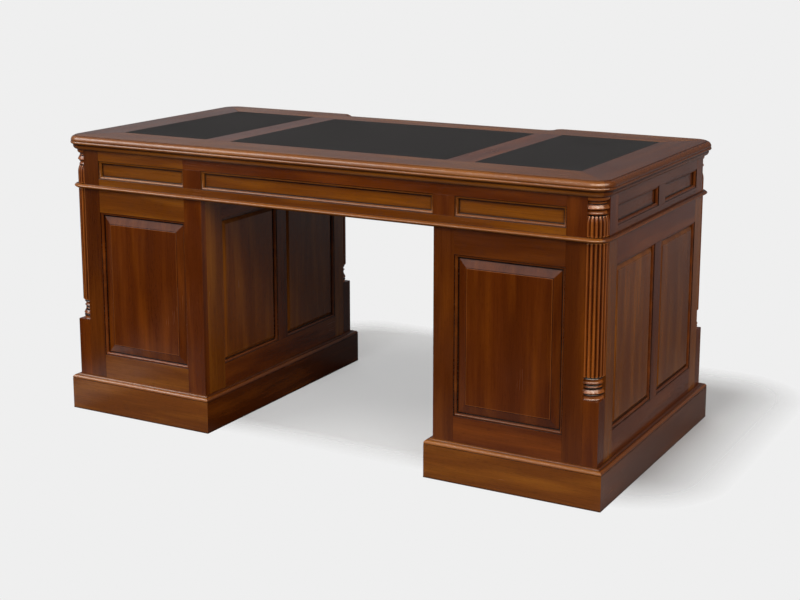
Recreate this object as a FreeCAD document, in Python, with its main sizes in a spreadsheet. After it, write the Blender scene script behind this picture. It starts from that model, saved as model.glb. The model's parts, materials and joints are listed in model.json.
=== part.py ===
import FreeCAD, Part
import os
from types import SimpleNamespace

import Sketcher

# Partners desk in mahogany: two pedestals with three drawers each, a frieze case with three
# drawers and a top lined with three panels of leather.
#
# Millimetres, +Z up. The origin is on the floor, under the middle of the case. -Y is the
# visitor's side, with fixed panels. +Y is the writer's side, with the drawers, and there the
# frieze and the top are set back between the pedestals.

SIZES = {
    # the carcase
    "caseLength": 1560,
    "caseDepth": 757,
    "kneeholeWidth": 692,
    "plinthHeight": 100,
    "pedestalHeight": 534,
    "baseThickness": 12,
    "friezeHeight": 94,
    "bedThickness": 15.5,
    "topThickness": 24.5,
    # how far each level stands proud of the frames
    "plinthProjection": 17.5,
    "baseProjection": 11,
    "bedProjection": 11,
    "topProjection": 17.5,
    # the top
    "endBorder": 117.5,
    "longBorder": 122.5,
    "centreBorderStep": 14,
    "centreLeatherLength": 648,
    "crossRailWidth": 78,
    "leatherThickness": 2,
    "recessCove": 7,
    "recessFlat": 1,
    "thumbRadius": 11,
    "topLowerRadius": 4,
    "bedWidth": 100,
    "bedRadius": 10.5,
    # walls of rails, stiles and panels
    "frameThickness": 20,
    "postWall": 14,
    "stileWidth": 51,
    "innerStileWidth": 56,
    "muntinWidth": 47,
    "pedestalTopRail": 63,
    "pedestalBottomRail": 66,
    "friezeTopRail": 26.5,
    "friezeBottomRail": 17.5,
    "friezeMuntinWidth": 58,
    "friezeMuntinShift": 16,
    "grooveDepth": 6,
    "tongueThickness": 6,
    "tongueSetBack": 9,
    "fieldSetBack": 3,
    "fieldMargin": 36,
    # quarter columns
    "columnNotch": 40,
    "columnRadius": 33.5,
    "reedRadius": 4,
    "reedCount": 24,
    "blockHeight": 160,
    "torusHeight": 11,
    "bellHeight": 10,
    "beadHeight": 4,
    "ringHeight": 10,
    "baseGroove": 4.5,
    "capitalGroove": 2,
    "grooveInset": 7,
    "bellInset": 5,
    "bellMouthInset": 1.5,
    "beadInset": 5.5,
    # plinth
    "plinthThickness": 36,
    "plinthRadius": 8,
    # drawer openings
    "centreOpening": 640,
    "drawerRail": 18,
    "pedestalHeadRail": 20,
    "pedestalFootRail": 24,
    "topDrawerOpening": 110,
    "middleDrawerOpening": 140,
    "friezeHeadRail": 12,
    "friezeFootRail": 14,
    # drawers
    "sideGap": 1,
    "runnerGap": 0.3,
    "headGap": 1.5,
    "drawerDepth": 560,
    "drawerBoard": 10,
    "drawerBottom": 6,
    "bottomRaise": 8,
    "sideDrop": 12,
    # boards inside
    "innerBoard": 18,
    "dustBoard": 6,
    "guideHeight": 22,
    # knobs
    "roseRadius": 10,
    "roseHeight": 3,
    "stemRadius": 7,
    "neckRadius": 5.5,
    "stemHeight": 12,
    "knobRadius": 17,
    "knobHalfHeight": 9,
    "knobSpacing": 180,
    "centreKnobSpacing": 400,
}


class Size:
    """A length as a number, and as the sheet expression that gives the same number."""

    def __init__(self, value, text):
        self.value = value
        self.text = text

    def __add__(self, other):
        other = size_of(other)
        return Size(self.value + other.value, f"({self.text} + {other.text})")

    def __sub__(self, other):
        other = size_of(other)
        return Size(self.value - other.value, f"({self.text} - {other.text})")

    def __mul__(self, factor):
        factor = size_of(factor)
        return Size(self.value * factor.value, f"({self.text} * {factor.text})")

    def __truediv__(self, divisor):
        return Size(self.value / divisor, f"({self.text} / {divisor})")

    def __neg__(self):
        return Size(-self.value, f"(-{self.text})")


def size_of(item):
    return item if isinstance(item, Size) else Size(item, f"({item})")


doc = FreeCAD.newDocument("partners_desk")
sheet = doc.addObject("Spreadsheet::Sheet", "Sizes")
for row, (alias, number) in enumerate(SIZES.items(), start=1):
    sheet.set(f"A{row}", alias)
    sheet.set(f"B{row}", str(number))
    sheet.setAlias(f"B{row}", alias)
doc.recompute()

s = SimpleNamespace(**{alias: Size(number, f"Sizes.{alias}") for alias, number in SIZES.items()})
nodes = {}


# ---------------------------------------------------------------- small builders

def bind(item, **properties):
    """Ties each named property of a document object to a size."""
    for prop, size in properties.items():
        item.setExpression(prop.replace("__", "."), size_of(size).text)
    return item


def place(item, x, y, z):
    bind(item, Placement__Base__x=x, Placement__Base__y=y, Placement__Base__z=z)
    return item


def box(name, x, y, z):
    """A board between two corners; x, y and z are (low, high) pairs."""
    board = doc.addObject("Part::Box", name)
    bind(board, Length=x[1] - x[0], Width=y[1] - y[0], Height=z[1] - z[0])
    return place(board, x[0], y[0], z[0])


def wall_box(name, axis, along, across, z):
    """A board of a wall that runs along x or y."""
    if axis == "x":
        return box(name, along, across, z)
    return box(name, across, along, z)


def tapered(name, axis, near, far):
    """A block between two rectangles; each is (depth, along pair, z pair), near the lower depth."""
    block = doc.addObject("Part::Wedge", name)
    near_along = near[1]
    far_along = far[1]
    if axis == "y":
        block.Placement = FreeCAD.Placement(
            FreeCAD.Vector(0, 0, 0), FreeCAD.Rotation(FreeCAD.Vector(0, 0, 1), -90))
        near_along = (-near_along[1], -near_along[0])
        far_along = (-far_along[1], -far_along[0])
    bind(block, Ymin=near[0], Xmin=near_along[0], Xmax=near_along[1], Zmin=near[2][0], Zmax=near[2][1])
    bind(block, Ymax=far[0], X2min=far_along[0], X2max=far_along[1], Z2min=far[2][0], Z2max=far[2][1])
    return block


def boolean(kind, name, base, tool):
    result = doc.addObject("Part::" + kind, name)
    result.Base = base
    result.Tool = tool
    return result


def fuse(name, members):
    result = doc.addObject("Part::MultiFuse", name)
    result.Shapes = members
    return result


def group(name, members):
    """Separate solids that are handled as one."""
    result = doc.addObject("Part::Compound", name)
    result.Links = members
    return result


def mirrored(name, source, axis, middle=None):
    """The mirror image of a piece in the plane where the axis has the value `middle`."""
    image = doc.addObject("Part::Mirroring", name)
    image.Source = source
    image.Normal = FreeCAD.Vector(axis == "x", axis == "y", 0)
    if middle is not None:
        image.setExpression("Base." + axis, middle.text)
    return image


def node(label, item):
    """Keeps a finished sub-part under its own name."""
    item.Label = label
    nodes[label] = item
    return item


def both_sides(label, item):
    """The right-hand sub-part and its mirror image on the left."""
    node("right_" + label, item)
    node("left_" + label, mirrored("left_" + label, item, "x"))


def outline_pad(name, corners, z):
    """A body with a padded right-angled outline; corners are (x, y, radius or None), in order."""
    body = doc.addObject("PartDesign::Body", name)
    sketch = body.newObject("Sketcher::SketchObject", name + "_outline")
    plane = next(item for item in body.Origin.OriginFeatures if item.Role == "XY_Plane")
    sketch.AttachmentSupport = [(plane, "")]
    sketch.MapMode = "FlatFace"
    bind(sketch, AttachmentOffset__Base__z=z[0])
    points = [FreeCAD.Vector(x.value, y.value, 0) for x, y, _ in corners]
    radii = [radius.value if radius else 0 for _, _, radius in corners]
    count = len(corners)
    ways = [(points[(i + 1) % count] - points[i]).normalize() for i in range(count)]
    sides = []
    for i in range(count):
        start = points[i] + ways[i] * radii[i]
        end = points[(i + 1) % count] - ways[i] * radii[(i + 1) % count]
        side = sketch.addGeometry(Part.LineSegment(start, end))
        level = abs(ways[i].y) < 0.5
        sketch.addConstraint(Sketcher.Constraint("Horizontal" if level else "Vertical", side))
        way = "DistanceY" if level else "DistanceX"
        reach = corners[i][1] if level else corners[i][0]
        if reach.value < 0:
            held = sketch.addConstraint(Sketcher.Constraint(way, side, 1, -1, 1, -reach.value))
            reach = -reach
        else:
            held = sketch.addConstraint(Sketcher.Constraint(way, -1, 1, side, 1, reach.value))
        sketch.setExpression(f"Constraints[{held}]", reach.text)
        sides.append(side)
    for i in range(count):
        before = sides[i - 1]
        after = sides[i]
        if not radii[i]:
            sketch.addConstraint(Sketcher.Constraint("Coincident", before, 2, after, 1))
            continue
        arrive = points[i] - ways[i - 1] * radii[i]
        leave = points[i] + ways[i] * radii[i]
        centre = arrive + ways[i] * radii[i]
        convex = ways[i - 1].cross(ways[i]).z > 0
        first, last = (arrive, leave) if convex else (leave, arrive)
        circle = Part.Circle(centre, FreeCAD.Vector(0, 0, 1), radii[i])
        arc = sketch.addGeometry(
            Part.ArcOfCircle(circle, circle.parameter(first), circle.parameter(last)))
        ends = (1, 2) if convex else (2, 1)
        sketch.addConstraint(Sketcher.Constraint("Tangent", before, 2, arc, ends[0]))
        sketch.addConstraint(Sketcher.Constraint("Tangent", arc, ends[1], after, 1))
        held = sketch.addConstraint(Sketcher.Constraint("Radius", arc, radii[i]))
        sketch.setExpression(f"Constraints[{held}]", corners[i][2].text)
    pad = body.newObject("PartDesign::Pad", name + "_pad")
    pad.Profile = sketch
    bind(pad, Length=z[1] - z[0])
    return body


def rounded_rim(body, level, radius):
    """Rounds every edge of the body's flat face at a level."""
    doc.recompute()
    base = body.Tip
    faces = [(abs(face.CenterOfMass.z - level.value) + abs(abs(face.normalAt(0, 0).z) - 1), i)
             for i, face in enumerate(base.Shape.Faces, start=1)]
    fillet = body.newObject("PartDesign::Fillet", f"{body.Name}_rim{len(body.Group)}")
    fillet.Base = (base, [f"Face{min(faces)[1]}"])
    bind(fillet, Radius=radius)
    body.Tip = fillet


def mitred(name, blank, outer, inner, z):
    """The four mitred boards of a ring; outer and inner are ((x low, x high), (y low, y high))."""
    (outer_x, outer_y) = outer
    (inner_x, inner_y) = inner
    blocks = {
        "front": ("x", (outer_y[0], outer_x, z), (inner_y[0], inner_x, z)),
        "back": ("x", (inner_y[1], inner_x, z), (outer_y[1], outer_x, z)),
        "left": ("y", (outer_x[0], outer_y, z), (inner_x[0], inner_y, z)),
        "right": ("y", (inner_x[1], inner_y, z), (outer_x[1], outer_y, z)),
    }
    return {side: boolean("Common", f"{name}_{side}", blank, tapered(f"{name}_{side}_cut", *block))
            for side, block in blocks.items()}


# ---------------------------------------------------------------- lines shared by the pieces

case_x = s.caseLength / 2
case_y = s.caseDepth / 2
knee_x = s.kneeholeWidth / 2
recess_y = case_y - s.columnNotch
pedestal_middle = (case_x + knee_x) / 2

pedestal_z = (s.plinthHeight, s.plinthHeight + s.pedestalHeight)
base_z = (pedestal_z[1], pedestal_z[1] + s.baseThickness)
frieze_z = (base_z[1], base_z[1] + s.friezeHeight)
bed_z = (frieze_z[1], frieze_z[1] + s.bedThickness)
top_z = (bed_z[1], bed_z[1] + s.topThickness)
block_top = s.plinthHeight + s.blockHeight

notch_x = case_x - s.columnNotch
notch_y = case_y - s.columnNotch
inner_notch_x = knee_x + s.columnNotch
wall_x = case_x - s.frameThickness
wall_y = case_y - s.frameThickness
knee_wall_x = knee_x + s.frameThickness
post_y = notch_y - s.postWall


def breakfront(name, projection, z):
    """A slab over the whole case, set back on the writer's side, with rounded corners."""
    x = case_x + projection
    y = case_y + projection
    step_x = knee_x - projection
    corner = s.columnRadius + projection
    nose = s.columnNotch - s.recessCove - s.recessFlat
    set_back = y - s.columnNotch
    corners = [(-x, -y, corner), (x, -y, corner), (x, y, corner),
               (step_x, y, nose), (step_x, set_back, s.recessCove),
               (-step_x, set_back, s.recessCove), (-step_x, y, nose), (-x, y, corner)]
    return outline_pad(name, corners, z)


# ---------------------------------------------------------------- top

def make_top():
    outer_x = case_x + s.topProjection
    outer_y = case_y + s.topProjection
    leather_x = outer_x - s.endBorder
    leather_y = outer_y - s.longBorder
    centre_x = s.centreLeatherLength / 2
    rail_x = centre_x + s.crossRailWidth
    centre_back = leather_y - s.centreBorderStep

    slab = breakfront("top_slab", s.topProjection, top_z)
    rounded_rim(slab, top_z[1], s.thumbRadius)
    rounded_rim(slab, top_z[0], s.topLowerRadius)
    boards = mitred("top_border", slab, ((-outer_x, outer_x), (-outer_y, outer_y)),
                    ((-leather_x, leather_x), (-leather_y, leather_y)), top_z)
    lip = box("top_border_back_lip", (-centre_x, centre_x), (centre_back, leather_y), top_z)
    boards["back"] = fuse("top_border_back_board", [boards["back"], lip])
    node("top_borders", group("top_borders", list(boards.values())))

    rail = box("cross_rail_right", (centre_x, rail_x), (-leather_y, leather_y), top_z)
    node("top_cross_rails", group("top_cross_rails", [rail, mirrored("cross_rail_left", rail, "x")]))

    ground_z = (top_z[0], top_z[1] - s.leatherThickness)
    leather_z = (ground_z[1], top_z[1])
    side_plan = ((rail_x, leather_x), (-leather_y, leather_y))
    centre_plan = ((-centre_x, centre_x), (-leather_y, centre_back))
    ground = box("ground_right", *side_plan, ground_z)
    centre_ground = box("ground_centre", *centre_plan, ground_z)
    node("top_ground_boards", group("top_ground_boards",
                                    [ground, centre_ground, mirrored("ground_left", ground, "x")]))
    both_sides("top_leather", box("right_top_leather", *side_plan, leather_z))
    node("centre_top_leather", box("centre_top_leather", *centre_plan, leather_z))


def make_bed_moulding():
    outer_x = case_x + s.bedProjection
    outer_y = case_y + s.bedProjection
    inner_x = outer_x - s.bedWidth
    inner_y = outer_y - s.bedWidth
    slab = breakfront("bed_slab", s.bedProjection, bed_z)
    rounded_rim(slab, bed_z[0], s.bedRadius)
    boards = mitred("bed", slab, ((-outer_x, outer_x), (-outer_y, outer_y)),
                    ((-inner_x, inner_x), (-inner_y, inner_y)), bed_z)
    node("bed_moulding", group("bed_moulding", list(boards.values())))


def make_base_board():
    """The board under the frieze, whose half-round edge is the waist moulding."""
    slab = breakfront("case_base_board", s.baseProjection, base_z)
    nose = s.baseThickness * 0.49
    rounded_rim(slab, base_z[1], nose)
    rounded_rim(slab, base_z[0], nose)
    node("case_base_board", slab)


# ---------------------------------------------------------------- framed walls and panels

def inward(face, outward, depth):
    """The depth below a face that looks along +axis (outward 1) or -axis (outward -1)."""
    return face - depth if outward > 0 else face + depth


def ordered(first, second):
    return (first, second) if first.value < second.value else (second, first)


def framed_wall(name, axis, face, outward, along, z, openings, opening_z):
    """Stiles, rails and muntins, grooved on the inside of each opening for the panel's tongue."""
    depth = ordered(face, inward(face, outward, s.frameThickness))
    first = openings[0][0]
    last = openings[-1][1]
    members = [
        wall_box(name + "_stile1", axis, (along[0], first), depth, z),
        wall_box(name + "_stile2", axis, (last, along[1]), depth, z),
        wall_box(name + "_rail1", axis, (first, last), depth, (z[0], opening_z[0])),
        wall_box(name + "_rail2", axis, (first, last), depth, (opening_z[1], z[1])),
    ]
    for i in range(len(openings) - 1):
        muntin = (openings[i][1], openings[i + 1][0])
        members.append(wall_box(f"{name}_muntin{i + 1}", axis, muntin, depth, opening_z))
    tongues = [tongue(f"{name}_groove{i + 1}", axis, face, outward, opening, opening_z)
               for i, opening in enumerate(openings)]
    grooves = group(name + "_grooves", tongues)
    return [boolean("Cut", member.Name + "_grooved", member, grooves) for member in members]


def tongue(name, axis, face, outward, opening, opening_z):
    """The flat plate of a panel, as large as the opening and its grooves."""
    depth = ordered(inward(face, outward, s.tongueSetBack),
                    inward(face, outward, s.tongueSetBack + s.tongueThickness))
    along = (opening[0] - s.grooveDepth, opening[1] + s.grooveDepth)
    height = (opening_z[0] - s.grooveDepth, opening_z[1] + s.grooveDepth)
    return wall_box(name, axis, along, depth, height)


def raised_panel(name, axis, face, outward, opening, opening_z):
    """A plate with a raised field whose bevel runs down to the edge of the opening."""
    plate = tongue(name + "_plate", axis, face, outward, opening, opening_z)
    foot = (inward(face, outward, s.tongueSetBack), opening, opening_z)
    field_along = (opening[0] + s.fieldMargin, opening[1] - s.fieldMargin)
    field_z = (opening_z[0] + s.fieldMargin, opening_z[1] - s.fieldMargin)
    field = (inward(face, outward, s.fieldSetBack), field_along, field_z)
    near, far = (foot, field) if outward > 0 else (field, foot)
    return fuse(name, [plate, tapered(name + "_field", axis, near, far)])


def side_openings(muntin_shift=0):
    """The two panel openings of an end wall, either side of its muntin."""
    half_muntin = s.muntinWidth / 2
    end = notch_y - s.stileWidth
    return [(-end, -half_muntin + muntin_shift), (half_muntin + muntin_shift, end)]


def make_pedestal_walls():
    opening_z = (pedestal_z[0] + s.pedestalBottomRail, pedestal_z[1] - s.pedestalTopRail)
    front_opening = (knee_x + s.innerStileWidth, notch_x - s.stileWidth)
    front = ("x", -case_y, -1)
    both_sides("pedestal_front_frame", group("front_frame", framed_wall(
        "front", *front, (knee_x, notch_x), pedestal_z, [front_opening], opening_z)))
    both_sides("pedestal_front_panel", raised_panel("front_panel", *front, front_opening, opening_z))

    openings = side_openings()
    outer = ("y", case_x, 1)
    inner = ("y", knee_x, -1)
    frames = framed_wall("outer", *outer, (-notch_y, notch_y), pedestal_z, openings, opening_z)
    frames += framed_wall("inner", *inner, (-wall_y, notch_y), pedestal_z, openings, opening_z)
    both_sides("pedestal_side_frames", group("side_frames", frames))
    panels = [raised_panel(f"{wall}_panel{i + 1}", *place_of, opening, opening_z)
              for wall, place_of in (("outer", outer), ("inner", inner))
              for i, opening in enumerate(openings)]
    both_sides("pedestal_side_panels", group("side_panels", panels))


def make_frieze_walls():
    opening_z = (frieze_z[0] + s.friezeBottomRail, frieze_z[1] - s.friezeTopRail)
    muntin_end = knee_x + s.innerStileWidth
    centre = muntin_end - s.friezeMuntinWidth
    end = notch_x - s.stileWidth
    openings = [(-end, -muntin_end), (-centre, centre), (muntin_end, end)]
    front = ("x", -case_y, -1)
    node("frieze_front_frame", group("frieze_front_frame", framed_wall(
        "frieze_front", *front, (-notch_x, notch_x), frieze_z, openings, opening_z)))
    node("frieze_front_panels", group("frieze_front_panels", [
        tongue(f"frieze_front_panel{i + 1}", *front, opening, opening_z)
        for i, opening in enumerate(openings)]))

    side = ("y", case_x, 1)
    end_openings = side_openings(s.friezeMuntinShift)
    right = group("frieze_right_frame", framed_wall(
        "frieze_right", *side, (-notch_y, notch_y), frieze_z, end_openings, opening_z))
    panels = group("frieze_right_panels", [
        tongue(f"frieze_right_panel{i + 1}", *side, opening, opening_z)
        for i, opening in enumerate(end_openings)])
    left = mirrored("frieze_left_frame", right, "x")
    node("frieze_end_frames", group("frieze_end_frames", [right, left]))
    left_panels = mirrored("frieze_left_panels", panels, "x")
    node("frieze_end_panels", group("frieze_end_panels", [panels, left_panels]))


# ---------------------------------------------------------------- quarter columns and posts

CORNER_ANGLE = -45  # degrees: from the column's axis to the outer front corner
VISIBLE_REACH = 60  # degrees: how far round from there a column shows in its notch


def corner_post(name, z, block_z=None):
    """The angle behind an outer front notch, on a square block where `block_z` is given."""
    legs = [box(name + "_leg1", (notch_x - s.postWall, notch_x), (-wall_y, -post_y), z),
            box(name + "_leg2", (notch_x - s.postWall, wall_x), (-notch_y, -post_y), z)]
    if block_z:
        legs.append(box(name + "_block", (notch_x, case_x), (-case_y, -notch_y), block_z))
    return fuse(name, legs)


def all_corners(name, piece):
    """A piece of the outer front corner and its images at both corners of the writer's side."""
    outer_back = mirrored(name + "_outer_back", piece, "y")
    inner_back = mirrored(name + "_inner_back", outer_back, "x", pedestal_middle)
    return [piece, outer_back, inner_back]


def reeds(name, centre, z):
    """The reeds of a column that stand between the two faces of the case."""
    pitch = 360 / SIZES["reedCount"]
    reach = round(VISIBLE_REACH / pitch)
    ring = s.columnRadius - s.reedRadius
    rods = [doc.addObject("Part::Cylinder", name + "_core")]
    place(bind(rods[0], Radius=ring, Height=z[1] - z[0]), *centre, z[0])
    for i in range(-reach, reach + 1):
        turn = FreeCAD.Rotation(FreeCAD.Vector(0, 0, 1), CORNER_ANGLE + i * pitch)
        way = turn.multVec(FreeCAD.Vector(1, 0, 0))
        rod = doc.addObject("Part::Cylinder", f"{name}_reed{i + reach + 1}")
        bind(rod, Radius=s.reedRadius, Height=z[1] - z[0])
        place(rod, centre[0] + ring * way.x, centre[1] + ring * way.y, z[0])
        rods.append(rod)
    return rods


def turned(name, centre, z, members):
    """Turned members, from the bottom up; each is (kind, height, inset of the radius)."""
    core = doc.addObject("Part::Cylinder", name + "_core")
    total = size_of(0)
    for _, height, _ in members:
        total = total + height
    place(bind(core, Radius=s.columnRadius - s.grooveInset, Height=total), *centre, z)
    pieces = [core]
    for i, (kind, height, inset) in enumerate(members):
        radius = s.columnRadius - inset
        if kind == "torus":
            piece = doc.addObject("Part::Torus", f"{name}_member{i + 1}")
            bind(piece, Radius1=radius - height / 2, Radius2=height / 2)
            pieces.append(place(piece, *centre, z + height / 2))
        if kind == "bell":
            piece = doc.addObject("Part::Cone", f"{name}_member{i + 1}")
            bind(piece, Radius1=radius, Radius2=s.columnRadius - s.bellMouthInset, Height=height)
            pieces.append(place(piece, *centre, z))
        if kind == "ring":
            piece = doc.addObject("Part::Cylinder", f"{name}_member{i + 1}")
            bind(piece, Radius=radius, Height=height)
            pieces.append(place(piece, *centre, z))
        z = z + height
    return pieces, z


def quarter_column(name, pieces, z):
    """The part of a column that shows in its notch."""
    notch = box(name + "_notch", (notch_x, case_x), (-case_y, -notch_y), z)
    return boolean("Common", name, fuse(name + "_round", pieces), notch)


def make_columns():
    centre = (case_x - s.columnRadius, s.columnRadius - case_y)
    flush = size_of(0)
    torus = ("torus", s.torusHeight, flush)
    bell = ("bell", s.bellHeight, s.bellInset)
    bead = ("torus", s.beadHeight, s.beadInset)
    ring = ("ring", s.ringHeight, flush)
    base_groove = ("groove", s.baseGroove, flush)
    neck = ("groove", s.capitalGroove, flush)

    foot, reed_foot = turned("base", centre, block_top, [
        torus, base_groove, bell, base_groove, bead, base_groove, torus, base_groove])
    shaft = reeds("shaft", centre, (reed_foot, pedestal_z[1]))
    column = quarter_column("pedestal_column", foot + shaft, (block_top, pedestal_z[1]))
    both_sides("pedestal_columns", group("columns", all_corners("column", column)))

    capital = [neck, torus, neck, bell, neck, bead, neck, ring]
    capital_height = size_of(0)
    for _, height, _ in capital:
        capital_height = capital_height + height
    head, _ = turned("capital", centre, frieze_z[1] - capital_height, capital)
    short_shaft = reeds("short_shaft", centre, (frieze_z[0], frieze_z[1] - capital_height))
    short = quarter_column("frieze_column", short_shaft + head, frieze_z)
    right = group("frieze_columns_right", all_corners("short_column", short))
    node("frieze_columns", group("frieze_columns", [right, mirrored("frieze_columns_left", right, "x")]))


def make_posts():
    post = corner_post("pedestal_post", pedestal_z, (pedestal_z[0], block_top))
    both_sides("pedestal_corner_posts", group("pedestal_posts", all_corners("post", post)))
    short = corner_post("frieze_post", frieze_z)
    right = group("frieze_posts_right", all_corners("short_post", short))
    return [right, mirrored("frieze_posts_left", right, "x")]


# ---------------------------------------------------------------- plinths

def make_plinths():
    project = s.plinthProjection
    outer = ((knee_x - project, case_x + project), (-case_y - project, case_y + project))
    inset = s.plinthThickness - project
    inner = ((knee_x + inset, case_x - inset), (-case_y + inset, case_y - inset))
    z = (size_of(0), s.plinthHeight)
    corners = [(outer[0][0], outer[1][0], None), (outer[0][1], outer[1][0], None),
               (outer[0][1], outer[1][1], None), (outer[0][0], outer[1][1], None)]
    blank = outline_pad("plinth_blank", corners, z)
    rounded_rim(blank, z[1], s.plinthRadius)
    boards = mitred("plinth", blank, outer, inner, z)
    both_sides("pedestal_plinth", group("plinth_boards", list(boards.values())))


# ---------------------------------------------------------------- drawer side

opening_x = (inner_notch_x + s.postWall, notch_x - s.postWall)
centre_opening_x = (-s.centreOpening / 2, s.centreOpening / 2)


def pedestal_openings():
    """The three openings of a pedestal from the top down; the lowest takes what is left."""
    top = pedestal_z[1] - s.pedestalHeadRail
    top_low = top - s.topDrawerOpening
    middle = top_low - s.drawerRail
    middle_low = middle - s.middleDrawerOpening
    bottom = middle_low - s.drawerRail
    return {"top": (top_low, top), "middle": (middle_low, middle),
            "bottom": (pedestal_z[0] + s.pedestalFootRail, bottom)}


frieze_opening_z = (frieze_z[0] + s.friezeFootRail, frieze_z[1] - s.friezeHeadRail)


def drawer_frame(name, ends, across, z, opening, levels):
    """Two stiles, and a rail above, below and between the openings."""
    members = [box(name + "_stile1", (ends[0], opening[0]), across, z),
               box(name + "_stile2", (opening[1], ends[1]), across, z)]
    edges = [z[0]] + [edge for level in levels for edge in level] + [z[1]]
    for i in range(0, len(edges), 2):
        members.append(box(f"{name}_rail{i // 2 + 1}", opening, across, (edges[i], edges[i + 1])))
    return members


def make_drawer_frames():
    across = (wall_y, case_y)
    levels = pedestal_openings()
    rising = [levels["bottom"], levels["middle"], levels["top"]]
    both_sides("pedestal_drawer_frame", group("pedestal_back", drawer_frame(
        "pedestal_back", (inner_notch_x, notch_x), across, pedestal_z, opening_x, rising)))

    flank = group("frieze_flank", drawer_frame(
        "frieze_flank", (inner_notch_x, notch_x), across, frieze_z, opening_x, [frieze_opening_z]))
    centre = drawer_frame("frieze_middle", (-knee_wall_x, knee_wall_x),
                          (recess_y - s.frameThickness, recess_y), frieze_z,
                          centre_opening_x, [frieze_opening_z])
    node("frieze_drawer_frame", group("frieze_drawer_frame", [
        flank, mirrored("frieze_flank_left", flank, "x"), *centre]))


def runner_pair(name, walls, opening, ends, z_low, z_high):
    """Runners under a drawer's sides, with guides beside them, between two inner walls."""
    bearing = s.sideGap + s.drawerBoard + s.sideGap
    guide_z = (z_high, z_high + s.guideHeight)
    return [
        box(name + "_runner1", (walls[0], opening[0] + bearing), ends, (z_low, z_high)),
        box(name + "_runner2", (opening[1] - bearing, walls[1]), ends, (z_low, z_high)),
        box(name + "_guide1", (walls[0], opening[0]), ends, guide_z),
        box(name + "_guide2", (opening[1], walls[1]), ends, guide_z),
    ]


def make_inner_boards():
    ends = (-post_y, post_y)
    walls = (knee_wall_x, wall_x)
    levels = pedestal_openings()
    through = (-wall_y, wall_y)
    floor_z = (pedestal_z[0], pedestal_z[0] + s.innerBoard)
    boards = [box("pedestal_floor", opening_x, through, floor_z),
              box("pedestal_head", opening_x, through, (pedestal_z[1] - s.innerBoard, pedestal_z[1]))]
    boards += runner_pair("bottom", walls, opening_x, ends, floor_z[1], levels["bottom"][0])
    bearing = s.sideGap + s.drawerBoard + s.sideGap
    between = (opening_x[0] + bearing, opening_x[1] - bearing)
    for level in ("middle", "top"):
        low = levels[level][0] - s.drawerRail
        boards += runner_pair(level, walls, opening_x, ends, low, levels[level][0])
        boards.append(box(level + "_dust_board", between, (-post_y, wall_y), (low, low + s.dustBoard)))
    both_sides("pedestal_inner_boards", group("inner_boards", boards))


def make_frieze_inside(posts):
    """Partitions, corner posts, runners and guides of the frieze case."""
    partition_x = (knee_wall_x, inner_notch_x)
    ends = (-post_y, post_y)
    right = [box("partition", partition_x, (-wall_y, post_y), frieze_z)]
    right += runner_pair("flank", (inner_notch_x, wall_x), opening_x, ends,
                         frieze_z[0], frieze_opening_z[0])
    flank = group("frieze_inside_right", right)
    centre = runner_pair("middle_drawer", (-knee_wall_x, knee_wall_x), centre_opening_x,
                         (-post_y, recess_y - s.frameThickness), frieze_z[0], frieze_opening_z[0])
    node("frieze_inner_boards", group("frieze_inner_boards", [
        flank, mirrored("frieze_inside_left", flank, "x"), *centre, *posts]))


# ---------------------------------------------------------------- drawers

def knob(name, x, face, z):
    """A turned knob on a face that looks along +Y."""
    turn = FreeCAD.Rotation(FreeCAD.Vector(1, 0, 0), -90)
    rose = bind(doc.addObject("Part::Cylinder", name + "_rose"), Radius=s.roseRadius, Height=s.roseHeight)
    stem = bind(doc.addObject("Part::Cone", name + "_stem"),
                Radius1=s.stemRadius, Radius2=s.neckRadius, Height=s.stemHeight)
    head = bind(doc.addObject("Part::Ellipsoid", name + "_head"),
                Radius1=s.knobHalfHeight, Radius2=s.knobRadius, Radius3=s.knobRadius)
    heights = (face, face + s.roseHeight, face + s.roseHeight + s.stemHeight)
    for piece, height in zip((rose, stem, head), heights):
        piece.Placement = FreeCAD.Placement(FreeCAD.Vector(0, 0, 0), turn)
        place(piece, x, height, z)
    return fuse(name, [rose, stem, head])


def drawer(name, opening, opening_z, face, knob_spacing):
    """A drawer's front, its box and its two knobs."""
    x = (opening[0] + s.sideGap, opening[1] - s.sideGap)
    z = (opening_z[0] + s.runnerGap, opening_z[1] - s.headGap)
    back = face - s.frameThickness
    front = box(name + "_front", x, (back, face), z)

    side_z = (z[0], z[1] - s.sideDrop)
    y = (back - s.drawerDepth, back)
    inner_x = (x[0] + s.drawerBoard, x[1] - s.drawerBoard)
    inner_y = (y[0] + s.drawerBoard, back)
    bottom_z = (z[0] + s.bottomRaise, z[0] + s.bottomRaise + s.drawerBottom)
    boards = [box(name + "_side1", (x[0], inner_x[0]), y, side_z),
              box(name + "_side2", (inner_x[1], x[1]), y, side_z),
              box(name + "_back", inner_x, (y[0], inner_y[0]), side_z),
              box(name + "_bottom", inner_x, inner_y, bottom_z)]

    middle = (opening[0] + opening[1]) / 2
    knob_z = (z[0] + z[1]) / 2
    knobs = [knob(f"{name}_knob{i}", middle + knob_spacing / 2 * side, face, knob_z)
             for i, side in ((1, -1), (2, 1))]
    return front, group(name + "_box", boards), group(name + "_knobs", knobs)


def make_drawers():
    kinds = ("drawer_front", "drawer_box", "drawer_knobs")
    for level, opening_z in pedestal_openings().items():
        pieces = drawer(f"pedestal_{level}", opening_x, opening_z, case_y, s.knobSpacing)
        for kind, piece in zip(kinds, pieces):
            both_sides(f"{level}_{kind}", piece)
    pieces = drawer("frieze_side", opening_x, frieze_opening_z, case_y, s.knobSpacing)
    for kind, piece in zip(kinds, pieces):
        both_sides(f"frieze_{kind}", piece)
    pieces = drawer("frieze_centre", centre_opening_x, frieze_opening_z, recess_y, s.centreKnobSpacing)
    for kind, piece in zip(kinds, pieces):
        node(f"centre_{kind}", piece)


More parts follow.
